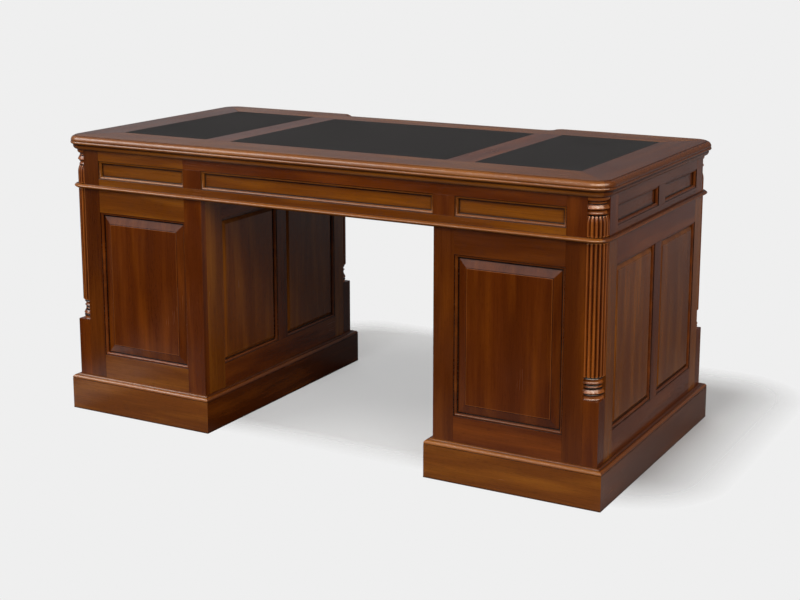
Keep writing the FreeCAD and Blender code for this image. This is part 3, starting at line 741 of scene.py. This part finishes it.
# The sticking round an opening, (in, deep, paint) in mm from the opening's edge: wax with painted shade in
# the quirk and in the deep corner by the panel, and faint rubbing with a painted highlight on the round.
STICKING = (
    [(0, 0, 0), (0.3, 0.3, -0.9), (0.5, 1.6, -1), (1.3, 1.8, -0.8)]
    + quarter((1.7, 1.7), (7, 7.4), False, 7, 0.12)
    + [(7.1, 8.6, -1), (8.8, 8.8, -1), (8.9, 9.6, -1)]
)
# The face of a raised panel, from its edge in the groove up the bevel to the field. Its paint is wax with
# painted shade in the groove, at the foot of the bevel and in the step below the field, and rubbing with a
# painted highlight on the field's arris.
RAISED = [(0, 0, -0.8), (14, 0, -1), (14.8, 0.1, -0.7), (16, 0.4, 0), (34.8, 5.2, 0),
          (35.5, 5.4, -0.6), (36.4, 5.5, -0.8), (36.7, 5.8, 0), (37.3, 6, 0.5), (38, 6, 0.4),
          (38.8, 6, 0)]
# The panels at the ends and in the kneehole have a narrower, steeper bevel with a rubbed arris. Their
# paint is wax with painted shade in the groove and below the arris, and rubbing with a painted highlight
# on the bevel and the arris.
RAISED_NARROW = [(0, 0, -0.8), (14, 0, -1), (14.6, 0.2, -0.7), (15.2, 0.5, 0.1), (23.4, 5.1, 0.15),
                 (23.9, 5.2, -0.7), (24.3, 5.8, -0.2), (25.2, 6, 0.3), (26.6, 6, 0)]
# The face of a flat panel, darker towards its edges by the frame as wax with painted shade.
FLAT = [(0, 0, -0.6), (13, 0, -0.9), (16, 0, -0.2), (20, 0, 0)]
# A panel's tongue in its groove, and where its plate lies behind the wall's face.
TONGUE = 0.005
PLATE_Y = (0.009, 0.015)


def sticking(x, z):
    """The small moulding round an opening in a wall whose face is at y 0 and looks along -Y."""
    piece = sheet_facing(x, z)
    edit(piece)
    sink(STICKING)
    bpy.ops.mesh.delete(type="FACE")
    return done()


def panel(x, z, face_profile):
    """A panel behind an opening, its face worked to the profile."""
    piece = cuboid((x[0] - TONGUE, x[1] + TONGUE), PLATE_Y, (z[0] - TONGUE, z[1] + TONGUE))
    edit(piece)
    pick("FACE", lambda face: face.normal.y < -0.9)
    sink([(inward, -rise, wear_and_painted_light) for inward, rise, wear_and_painted_light in face_profile])
    return done()


def framing(ends, z, openings, opening_z, along, wood="mahogany", stiles=(), rails=(), muntin=None,
            moulding=None, joint=None):
    """Stiles, muntins and rails round a row of openings, with the sticking in each.

    stiles names the woods of the first and last upright, rails those of the lower and upper rail, and
    joint the place where the upper rail is pieced and the wood before it. Both lengths of a pieced rail
    have the same number.
    """
    global board_count

    def bar(x, z, grain, bar_wood):
        return board(x, (0, FRAME), z, grain, wood=bar_wood)

    stops = [ends[0]] + [edge for opening in openings for edge in opening] + [ends[1]]
    first_wood, last_wood = stiles or (wood, wood)
    lower_wood, upper_wood = rails or (wood, wood)
    members = [bar(stops[:2], z, "z", first_wood), bar(stops[-2:], z, "z", last_wood)]
    for i in range(2, len(stops) - 2, 2):
        members.append(bar(stops[i:i + 2], opening_z, "z", muntin or wood))
    members.append(bar((stops[1], stops[-2]), (z[0], opening_z[0]), along, lower_wood))
    upper_z = (opening_z[1], z[1])
    upper_start = stops[1]
    if joint:
        members.append(bar((upper_start, joint[0]), upper_z, along, joint[1]))
        board_count -= 1
        upper_start = joint[0]
    members.append(bar((upper_start, stops[-2]), upper_z, along, upper_wood))
    for opening in openings:
        members.append(timber(sticking(opening, opening_z), along, moulding or wood))
    return members


def panels(openings, opening_z, face_profile, grain, wood="mahogany"):
    return [timber(panel(opening, opening_z, face_profile), grain, wood) for opening in openings]


def to_front(pieces):
    """Moves pieces made at y 0 to the visitor's wall."""
    return [stand(piece, 0, (0, -CASE_Y, 0)) for piece in pieces]


def to_side(pieces, wall_x, look):
    """Moves pieces made at y 0 to an upright wall at that x, which looks along +X or -X."""
    return [stand(piece, 90 * look, (wall_x, 0, 0)) for piece in pieces]


def side_openings(muntin_shift, mirror):
    """Two openings on an end wall, from the visitor's side to the writer's, or the other way mirrored."""
    first = (-END_STILE, muntin_shift - MUNTIN)
    second = (muntin_shift + MUNTIN, END_STILE)
    if mirror:
        return [(-second[1], -second[0]), (-first[1], -first[0])]
    return [first, second]


# Raised panels keep every arris sharper than this many degrees.
FIELD_SMOOTH = 12
VISITOR_WOODS = {
    "left": {"wood": "mahogany", "stiles": ("darker_mahogany", "mahogany"),
             "rails": ("lighter_mahogany", "lighter_mahogany")},
    "right": {"wood": "darker_mahogany", "rails": ("mahogany", "darker_mahogany")},
}


def make_pedestal(side, way):
    """One pedestal's walls: the visitor's face, the outer end and the kneehole's side."""
    across = on_side(way, KNEE_X, NOTCH_X)
    opening = on_side(way, *PANEL_X)
    front = to_front(framing(across, PEDESTAL_Z, [opening], PANEL_Z, "x", **VISITOR_WOODS[side]))
    assemble(f"{side}_visitor_framing", front, f"{side}_pedestal_front_frame")
    field = to_front(panels([opening], PANEL_Z, RAISED, "z"))
    assemble(f"{side}_visitor_panel", field, f"{side}_pedestal_front_panel", smooth=FIELD_SMOOTH)

    frames, fields = [], []
    for wall_x, look, front_end in ((CASE_X, way, NOTCH_Y), (KNEE_X, -way, CASE_Y - FRAME)):
        ends = (-NOTCH_Y, front_end) if look < 0 else (-front_end, NOTCH_Y)
        openings = side_openings(0, look < 0)
        frame_pieces = framing(ends, PEDESTAL_Z, openings, PANEL_Z, "y",
                               stiles=("lighter_mahogany", "lighter_mahogany"))
        frames += to_side(frame_pieces, way * wall_x, look)
        raised = panels(openings, PANEL_Z, RAISED_NARROW, "z", "panel_mahogany")
        fields += to_side(raised, way * wall_x, look)
    assemble(f"{side}_side_framing", frames, f"{side}_pedestal_side_frames")
    assemble(f"{side}_side_fields", fields, f"{side}_pedestal_side_panels", smooth=FIELD_SMOOTH)


def make_frieze():
    """The band of sunk panels between the waist and the top, on the visitor's side and the ends."""
    muntin, end = PANEL_X
    openings = [(-end, -muntin), (-FRIEZE_MUNTIN_X, FRIEZE_MUNTIN_X), (muntin, end)]
    front = framing((-NOTCH_X, NOTCH_X), FRIEZE_Z, openings, SUNK_Z, "x", "lighter_mahogany",
                    stiles=("darker_mahogany", "mahogany"), muntin="mahogany",
                    rails=("lighter_mahogany", "mahogany"), joint=(-muntin, "lighter_mahogany"))
    assemble("frieze_visitor_framing", to_front(front), "frieze_front_frame")
    plates = to_front(panels(openings, SUNK_Z, FLAT, "x", "lighter_mahogany"))
    assemble("frieze_visitor_plates", plates, "frieze_front_panels")

    frames, plates = [], []
    for look in (-1, 1):
        openings = side_openings(FRIEZE_SHIFT, look < 0)
        frame_pieces = framing((-NOTCH_Y, NOTCH_Y), FRIEZE_Z, openings, SUNK_Z, "y", "darker_mahogany",
                               stiles=("mahogany", "mahogany"), moulding="mahogany")
        frames += to_side(frame_pieces, look * CASE_X, look)
        plates += to_side(panels(openings, SUNK_Z, FLAT, "y", "darker_mahogany"), look * CASE_X, look)
    assemble("frieze_end_framing", frames, "frieze_end_frames")
    assemble("frieze_end_plates", plates, "frieze_end_panels")


# ---- columns and their posts

REED_COUNT = 20
REED_RADIUS = 0.0045
# The reeds modelled on either side of the one that faces the corner.
SHOWN_REEDS = 4
CORE_SLACK = 0.0002
REED_TIP = 0.0035
# The short reeds lean in to the core near their heads: (distance below the head, lean from there up).
HEAD_LEANS = [(0.018, 0.0009), (0.012, 0.0013), (0.007, 0.0013)]
# Turned members as (radius, height above the member's foot, paint), in millimetres: wax with painted shade
# in the hollows between the rings, and rubbing with a painted highlight on the beads.
FOOT = (
    [(0, 0, 0), (32.4, 0, -0.6), (32.6, 0.8, 0)] + bow((32, 1.2), (31.8, 10.2), -1.5, 6, 0.5)
    + [(29, 11.2, -1), (28, 13, -1), (28.6, 14.6, -0.8)]
    + [(32.2, 16, 0.3), (31.6, 18, 0.5), (30, 21, 0.4), (28.6, 24.4, 0), (26.8, 25.2, -1)]
    + [(26.4, 28.4, -1)] + bow((27, 29.4), (27, 33.4), -1.4, 4, 0.5)
    + [(26.2, 34.4, -1), (26.4, 37.4, -1)]
    + bow((29.4, 38.6), (29.4, 49.4), -3.6, 7, 0.5) + [(28, 50.6, -1), (27.4, 54, -1), (0, 54, 0)]
)
CAPITAL = (
    [(0, 0, 0), (27.4, 0, -1), (28, 1.8, -1)] + bow((29.6, 2.6), (29.6, 12.4), -3.2, 7, 0.5)
    + [(28.4, 13.2, -1), (30.4, 14.6, -0.8), (32.4, 15.6, 0.4), (31.8, 18.4, 0.5), (29.8, 22, 0.4),
       (28.2, 25, 0), (26.8, 25.8, -1), (26.6, 27.2, -1)]
    + bow((27.2, 27.8), (27.2, 31), -1.4, 4, 0.5) + [(26.6, 31.8, -1), (27.6, 32.8, -0.8)]
    + [(29, 33.4, 0), (31.4, 35, 0.2), (32.9, 37.6, 0.5), (33.2, 40.4, 0.4), (33.2, 43, 0), (0, 43, 0)]
)
FOOT_HEIGHT = 0.054
CAPITAL_HEIGHT = 0.043


def turnery(profile, foot):
    """A round turned on the upright axis at the origin."""
    draw_profile([((radius / 1000, 0, foot + height / 1000), wear_and_painted_light) for radius, height, wear_and_painted_light in profile])
    turn_spin((0, 0, 0), (0, 0, 1), 360, 48)
    heal()
    return timber(done(), "z", "turned_mahogany")


def rod(vertices, radius, low, high, x=0):
    """An upright cylinder, ready for edit mode."""
    bpy.ops.mesh.primitive_cylinder_add(vertices=vertices, radius=radius, depth=high - low,
                                        location=(x, 0, (low + high) / 2))
    bpy.ops.object.transform_apply()
    return bpy.context.object


def reeding(z, leans=()):
    """Round-ended reeds on a core painted dark as the shade between them, about the corner's diagonal at
    -45 degrees.
    """
    ring = COLUMN_RADIUS - REED_RADIUS
    stops = [z[1] - below for below, _ in leans] + [z[1]]
    reed = rod(14, REED_RADIUS, z[0], stops[0], ring)
    edit(reed)
    pick("FACE", lambda face: face.normal.z > 0.9)
    for low, high in zip(stops, stops[1:]):
        bpy.ops.mesh.extrude_region_move(TRANSFORM_OT_translate={"value": (0, 0, high - low)})
    pick("EDGE", lambda edge: any(all(abs(point.co.z - end) < TINY for point in edge.verts) for end in z))
    bpy.ops.mesh.bevel(offset=REED_RADIUS * 0.86, segments=5, affect="EDGES")
    # The reeds are painted dark next to the core as the shade in their gaps, paler on their crests as a
    # painted highlight, and palest at their rounded ends as rubbing with a painted highlight.
    pick("VERT", lambda point: point.co.x < ring + REED_RADIUS * 0.4)
    mark(-1)
    pick("VERT", lambda point: point.co.x > ring + REED_RADIUS * 0.8)
    mark(0.5)
    pick("VERT", lambda point: point.co.x > ring and not z[0] + REED_TIP < point.co.z < z[1] - REED_TIP)
    mark(1)
    for below, lean in leans:
        pick("VERT", lambda point: point.co.z > z[1] - below + TINY)
        bpy.ops.transform.translate(value=(-lean, 0, 0))
    done()
    pitch = 360 / REED_COUNT
    members = [copy_of(reed, -45 + i * pitch) for i in range(-SHOWN_REEDS, SHOWN_REEDS + 1)]
    discard(reed)
    for member in members:
        timber(member, "z", "turned_mahogany")
    core = rod(48, ring - CORE_SLACK, z[0] + CORE_SLACK, z[1] - CORE_SLACK)
    edit(core)
    pick("FACE", lambda face: abs(face.normal.z) > 0.9)
    bpy.ops.mesh.inset(thickness=0.002, use_even_offset=True)
    # The whole core is painted dark, as the shade between the reeds.
    bpy.ops.mesh.select_all(action="SELECT")
    mark(-1)
    done()
    return members + [timber(core, "z", "turned_mahogany")]


def at_corners(source, way):
    """Copies for the outer front, outer back and inner back corners on one side of the desk."""
    x, y = COLUMN_AT
    inner = 2 * PEDESTAL_MIDDLE - x
    corners = [(x, -y, 0), (x, y, 90), (inner, y, 180)]
    if way < 0:
        corners = [(-x, -y, -90), (-x, y, 180), (-inner, y, 90)]
    return [copy_of(source, turn, (cx, cy, 0)) for cx, cy, turn in corners]


def make_columns():
    long_parts = [turnery(FOOT, BLOCK_TOP)] + reeding((BLOCK_TOP + FOOT_HEIGHT, PEDESTAL_Z[1]))
    column = joined(long_parts)
    head = FRIEZE_Z[1] - CAPITAL_HEIGHT
    short_parts = [turnery(CAPITAL, head)] + reeding((FRIEZE_Z[0], head), HEAD_LEANS)
    short = joined(short_parts)
    for side, way in SIDES:
        assemble(f"{side}_reeded_columns", at_corners(column, way), f"{side}_pedestal_columns",
                 smooth=50)
    assemble("frieze_reeded_columns", at_corners(short, 1) + at_corners(short, -1), "frieze_columns",
             smooth=50)
    discard(column, short)


def make_posts(side, way):
    """The blocks that carry the columns, and the angle behind each notch."""
    members = []
    for edge_x, inward, look in ((CASE_X, -1, -1), (CASE_X, -1, 1), (KNEE_X, 1, 1)):
        notch_x = edge_x + inward * NOTCH
        deep_x = notch_x + inward * POST_WALL
        outer_y, notch_y = look * CASE_Y, look * NOTCH_Y
        deep_y = notch_y - look * POST_WALL
        block_x = on_side(way, edge_x, notch_x)
        block_z = (PEDESTAL_Z[0], BLOCK_TOP)
        members.append(board(block_x, sorted((outer_y, notch_y)), block_z, "z", arris=0.0007))
        leg_x = on_side(way, notch_x, deep_x)
        members.append(board(leg_x, sorted((outer_y - look * FRAME, deep_y)), PEDESTAL_Z, "z"))
        arm_x = on_side(way, edge_x + inward * FRAME, deep_x)
        members.append(board(arm_x, sorted((notch_y, deep_y)), PEDESTAL_Z, "z"))
    assemble(f"{side}_column_blocks", members, f"{side}_pedestal_corner_posts")


# ---- the writer's side


def drawer_framing(ends, opening, z, levels, face):
    """Stiles and rails round a stack of drawers, on a wall that looks along +Y."""
    across = (face - FRAME, face)
    members = [board((ends[0], opening[0]), across, z, "z"), board((opening[1], ends[1]), across, z, "z")]
    edges = [z[0]] + [edge for level in levels for edge in level] + [z[1]]
    for low, high in zip(edges[::2], edges[1::2]):
        members.append(board(opening, across, (low, high), "x"))
    return members


# The bead round a drawer's front, (in, deep, paint) in mm from its edge: wax with painted shade in the
# quirks on either side, and rubbing with a painted highlight on the bead.
COCK_BEAD = [(0, 0, 0), (0.1, 0, -0.9), (0.2, -1.2, 0.1), (0.7, -1.9, 0.4), (1.4, -2.1, 0.5),
             (2.1, -1.9, 0.4), (2.7, -1.2, 0), (2.9, 0, -1), (4, 0, 0)]
# A knob as (radius, height above the front, paint), in millimetres: wax with painted shade in its hollows
# and where it meets the front, and rubbing with a painted highlight on its rounds.
KNOB = (
    [(0, 0, 0), (9.8, 0, -0.8), (10, 1.4, 0.2), (9.4, 2.8, 0.1), (7.2, 3.4, -0.7)]
    + [(6.2, 5.4, 0), (5.7, 7.4, 0), (6, 8.8, -0.4), (8.4, 9.6, -0.2)]
    + bow((9.6, 9.8), (16.2, 13.8), -1.2, 3, 0.1)
    + bow((16.8, 15), (12.2, 20.6), -1.6, 5, 0.5) + [(9.6, 21.4, 0), (8.8, 21.1, -0.8), (8, 21.9, 0)]
    + [(5, 23.2, 0.4), (0, 23.8, 0.5)]
)
KNOB_RADIUS = 0.017


def drawer_front(body, x, y, z):
    """A front with a cock bead round it."""
    piece = cuboid(x, y, z)
    edit(piece)
    pick("FACE", lambda face: face.normal.y > 0.9)
    sink(COCK_BEAD)
    front = timber(done(), "x", "lighter_mahogany")
    assemble(f"{body}_beaded_front", [front], f"{body}_front", body=body, smooth=50)


def knobs(body, places, face):
    """Turned wooden knobs on a face that looks along +Y."""
    draw_profile([((radius / 1000, height / 1000, 0), wear_and_painted_light) for radius, height, wear_and_painted_light in KNOB])
    turn_spin((0, 0, 0), (0, 1, 0), 360, 40)
    heal()
    first = timber(done(), "y", "turned_mahogany")
    members = [copy_of(first, 0, (x, face, z)) for x, z in places]
    discard(first)
    assemble(f"{body}_turned_knobs", members, f"{body}_knobs", body=body,
             smooth=45)


def make_drawer(body):
    """The front and the knobs of one drawer, where the frame has them."""
    low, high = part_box(f"{body}_front")
    drawer_front(body, (low[0], high[0]), (low[1], high[1]), (low[2], high[2]))
    knob_low, knob_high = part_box(f"{body}_knobs")
    z = (low[2] + high[2]) / 2
    knobs(body, [(knob_low[0] + KNOB_RADIUS, z), (knob_high[0] - KNOB_RADIUS, z)], high[1])


def pedestal_drawer_framing(way, z, levels):
    return drawer_framing(on_side(way, KNEE_NOTCH_X, NOTCH_X), on_side(way, *DRAWER_X), z, levels, CASE_Y)


def make_writer_side():
    for side, way in SIDES:
        assemble(f"{side}_drawer_framing", pedestal_drawer_framing(way, PEDESTAL_Z, DRAWER_LEVELS),
                 f"{side}_pedestal_drawer_frame")
    members = drawer_framing((-KNEE_X - FRAME, KNEE_X + FRAME), CENTRE_DRAWER_X, FRIEZE_Z,
                             [FRIEZE_DRAWER_Z], RECESS_Y)
    for way in (-1, 1):
        members += pedestal_drawer_framing(way, FRIEZE_Z, [FRIEZE_DRAWER_Z])
    assemble("frieze_drawer_framing", members, "frieze_drawer_frame")


# ---- build the desk

make_top()
make_mouldings()
make_frieze()
make_columns()
for side, way in SIDES:
    make_plinth(side, way)
    make_pedestal(side, way)
    make_posts(side, way)
make_writer_side()
for body in frame["bodies"]:
    if body.endswith("_drawer"):
        make_drawer(body)

for name, piece in frame["nodes"].items():
    if "leather" in name:
        finish = LEATHER
    elif "box" in name or "inner" in name or "ground" in name:
        finish = WOODS["drawer_wood", "y"]
    else:
        continue
    for material_slot in piece.material_slots:
        material_slot.material = finish

# ---- floor, light and camera

BACKDROP_COLOUR = grey(0.863)
AMBIENT = grey(0.24)
# What polish mirrors of the studio, from the left and from the right, and the X of the way between them.
BACKDROP_MIRRORED_LEFT = (0.25, 0.25, 0.26, 1)
BACKDROP_MIRRORED_RIGHT = (0.125, 0.125, 0.13, 1)
SIDES_MEET = (-0.65, -0.25)

FLOOR_COLOUR = grey(0.56)
FLOOR_BOUNCE = grey(0.2)
# What polish mirrors of the floor: in front of the desk, behind it, and behind it further out. The two
# spreads are the Y of the way from front to back, and the distances from near to far.
FRONT_FLOOR_MIRRORED = grey(0.012)
BACK_FLOOR_MIRRORED = (0.07, 0.07, 0.072, 1)
FAR_FLOOR_MIRRORED = (0.2, 0.2, 0.21, 1)
FRONT_TO_BACK = (-0.6, 0.3)
NEAR_TO_FAR = (1.2, 4.5)
# Close to the desk polish mirrors a paler floor, along the long sides and beside the ends. It fades out
# over CLOSE_FADE from the desk's outline, and sooner at the ends by END_STEEPNESS.
ALONG_FLOOR_MIRRORED = grey(0.16)
BESIDE_FRONT_MIRRORED = grey(0.52)
BESIDE_BACK_MIRRORED = grey(0.21)
OUTLINE_HALF = (0.8, 0.4)
OUTLINE_SOFTNESS = 0.1
CLOSE_FADE = (0.3, 0.7)
END_STEEPNESS = 2.5
ALONG_TO_BESIDE = (0.76, 0.84)
# The shadow lies in this oblong, and melts into the background over this distance outside it.
SHADOW_MIDDLE = (0.16, 0.25, 0)
SHADOW_HALF = (0.6, 0.35, 10)
SHADOW_MELT = (0.04, 0.26)
# In the kneehole the shadow is lighter by this share, which fades out over these distances sideways.
KNEEHOLE_LIFT = 0.45
KNEEHOLE_EDGE = (0.3, 0.7)


def by_viewer(tree, lit, mirrored, seen):
    """One colour for light that bounces, one that polish mirrors, one for the camera and clear things."""
    path = add(tree, "LightPath").outputs
    direct = figure(tree, "MAXIMUM", path["Is Camera Ray"], path["Is Transmission Ray"])
    return blend(tree, direct, blend(tree, path["Is Glossy Ray"], lit, mirrored), seen)


def floor_mirrored(tree, place):
    """What polish mirrors of the floor at that place."""
    backwards = spread(tree, part_of(tree, vector(tree, "NORMALIZE", place), "Y"), *FRONT_TO_BACK)
    further = spread(tree, length_of(tree, place), *NEAR_TO_FAR)
    behind = blend(tree, further, BACK_FLOOR_MIRRORED, FAR_FLOOR_MIRRORED)
    open_floor = blend(tree, backwards, FRONT_FLOOR_MIRRORED, behind)

    either_way = vector(tree, "ABSOLUTE", place)
    off_x = part_of(tree, either_way, "X")
    past_end = figure(tree, "SUBTRACT", off_x, OUTLINE_HALF[0])
    past_side = figure(tree, "SUBTRACT", part_of(tree, either_way, "Y"), OUTLINE_HALF[1])
    past_desk = figure(tree, "MAXIMUM", figure(tree, "MULTIPLY", past_end, END_STEEPNESS), past_side)
    close = figure(tree, "MULTIPLY", spread(tree, past_desk, -OUTLINE_SOFTNESS, 0),
                   spread(tree, past_desk, *CLOSE_FADE, 1, 0))
    beside = blend(tree, backwards, BESIDE_FRONT_MIRRORED, BESIDE_BACK_MIRRORED)
    close_floor = blend(tree, spread(tree, off_x, *ALONG_TO_BESIDE), ALONG_FLOOR_MIRRORED, beside)
    return blend(tree, close, open_floor, close_floor)


def shadow_melt(tree, place):
    """How much the floor at that place gives way to the background."""
    either_way = vector(tree, "ABSOLUTE", vector(tree, "SUBTRACT", place, SHADOW_MIDDLE))
    outside = vector(tree, "MAXIMUM", vector(tree, "SUBTRACT", either_way, SHADOW_HALF))
    off_x = part_of(tree, vector(tree, "ABSOLUTE", place), "X")
    lift = spread(tree, off_x, *KNEEHOLE_EDGE, KNEEHOLE_LIFT, 0)
    return figure(tree, "MAXIMUM", lift, spread(tree, length_of(tree, outside), *SHADOW_MELT))


def make_floor():
    """A pale floor that keeps the shadow near the desk and melts into the background further out."""
    bpy.ops.mesh.primitive_circle_add(vertices=96, radius=9, fill_type="NGON", location=(0, 0, 0))
    floor = bpy.context.object
    floor.name = "floor"
    material, tree = new_material("pale floor")
    place = add(tree, "TexCoord").outputs["Object"]
    shade = by_viewer(tree, FLOOR_BOUNCE, floor_mirrored(tree, place), FLOOR_COLOUR)
    paint = add(tree, "BsdfDiffuse", {"Color": shade})
    clear = add(tree, "BsdfTransparent")
    seen = add(tree, "LightPath").outputs["Is Camera Ray"]
    melt = figure(tree, "MULTIPLY", seen, shadow_melt(tree, place))
    mixed = add(tree, "MixShader", {0: melt, 1: paint.outputs[0], 2: clear.outputs[0]})
    add(tree, "OutputMaterial", {"Surface": mixed.outputs[0]})
    floor.data.materials.append(material)


def make_world():
    """A backdrop that looks pale and is mirrored darker."""
    world = bpy.data.worlds.new("studio")
    bpy.context.scene.world = world
    world.use_nodes = True
    tree = world.node_tree
    tree.nodes.clear()
    direction = add(tree, "TexCoord").outputs["Generated"]
    rightwards = spread(tree, part_of(tree, direction, "X"), *SIDES_MEET)
    mirrored = blend(tree, rightwards, BACKDROP_MIRRORED_LEFT, BACKDROP_MIRRORED_RIGHT)
    light = by_viewer(tree, AMBIENT, mirrored, BACKDROP_COLOUR)
    backdrop = add(tree, "Background", {"Color": light, "Strength": 1})
    add(tree, "OutputWorld", {"Surface": backdrop.outputs[0]})


# Each lamp: its name, where it stands, strength, softness in degrees, tint, and whether polish mirrors it.
LAMPS = [
    ("key", (-1.4, -2.1, 3.1), 0.35, 10, (1, 0.99, 0.97), False),
    ("strip", (-2.1, -1.32, 1.68), 1.5, 34, (1, 0.98, 0.95), True),
    ("canopy", (-1.18, -2.04, 1.85), 0.88, 70, (1, 0.98, 0.97), True),
    ("fill", (2.8, -1.4, 1.3), 1.6, 50, (1, 0.99, 0.98), False),
    ("corner", (2.2, -2.4, 2.6), 0.7, 22, (1, 0.99, 0.97), True),
    ("rear", (-1.3, 2.6, 0.75), 1.85, 60, (1, 0.99, 0.98), False),
]
# Side by side on the right, at these degrees from +X, are lamps that light nothing and that round
# corners mirror.
GLINT_TURNS = (-88, -48, -8)
GLINT_RISE = 0.8
GLINT = (2.2, 34, (1, 0.8, 0.62), True)


def make_lamp(name, place, strength, softness, tint, mirrored, lighting=True):
    """A broad even light that shines from that place towards the desk's middle."""
    bpy.ops.object.light_add(type="SUN", location=place)
    lamp = bpy.context.object
    lamp.name = name
    lamp.rotation_euler = Vector(place).to_track_quat("Z", "Y").to_euler()
    lamp.data.energy = strength
    lamp.data.angle = math.radians(softness)
    lamp.data.color = tint
    lamp.visible_glossy = mirrored
    lamp.visible_diffuse = lighting


def make_glints():
    for turn in GLINT_TURNS:
        angle = math.radians(turn)
        place = (math.cos(angle), math.sin(angle), GLINT_RISE)
        make_lamp(f"glint at {turn}", place, *GLINT, lighting=False)


# The camera's place, how far it looks down and is turned from +Y to the left, and its lens.
CAMERA_AT = (1.9731, -3.4680, 1.3406)
CAMERA_DOWN = 11.2
CAMERA_LEFT = 29.1
LENS = 66.66
SENSOR_WIDTH = 36
LENS_SHIFT = -0.1


def make_camera():
    bpy.ops.object.camera_add(location=CAMERA_AT,
                              rotation=(math.radians(90 - CAMERA_DOWN), 0, math.radians(CAMERA_LEFT)))
    camera = bpy.context.object
    camera.data.lens = LENS
    camera.data.sensor_width = SENSOR_WIDTH
    camera.data.shift_y = LENS_SHIFT
    bpy.context.scene.camera = camera


make_floor()
make_world()
for lamp in LAMPS:
    make_lamp(*lamp)
make_glints()
make_camera()
bpy.context.scene.view_settings.view_transform = "Standard"
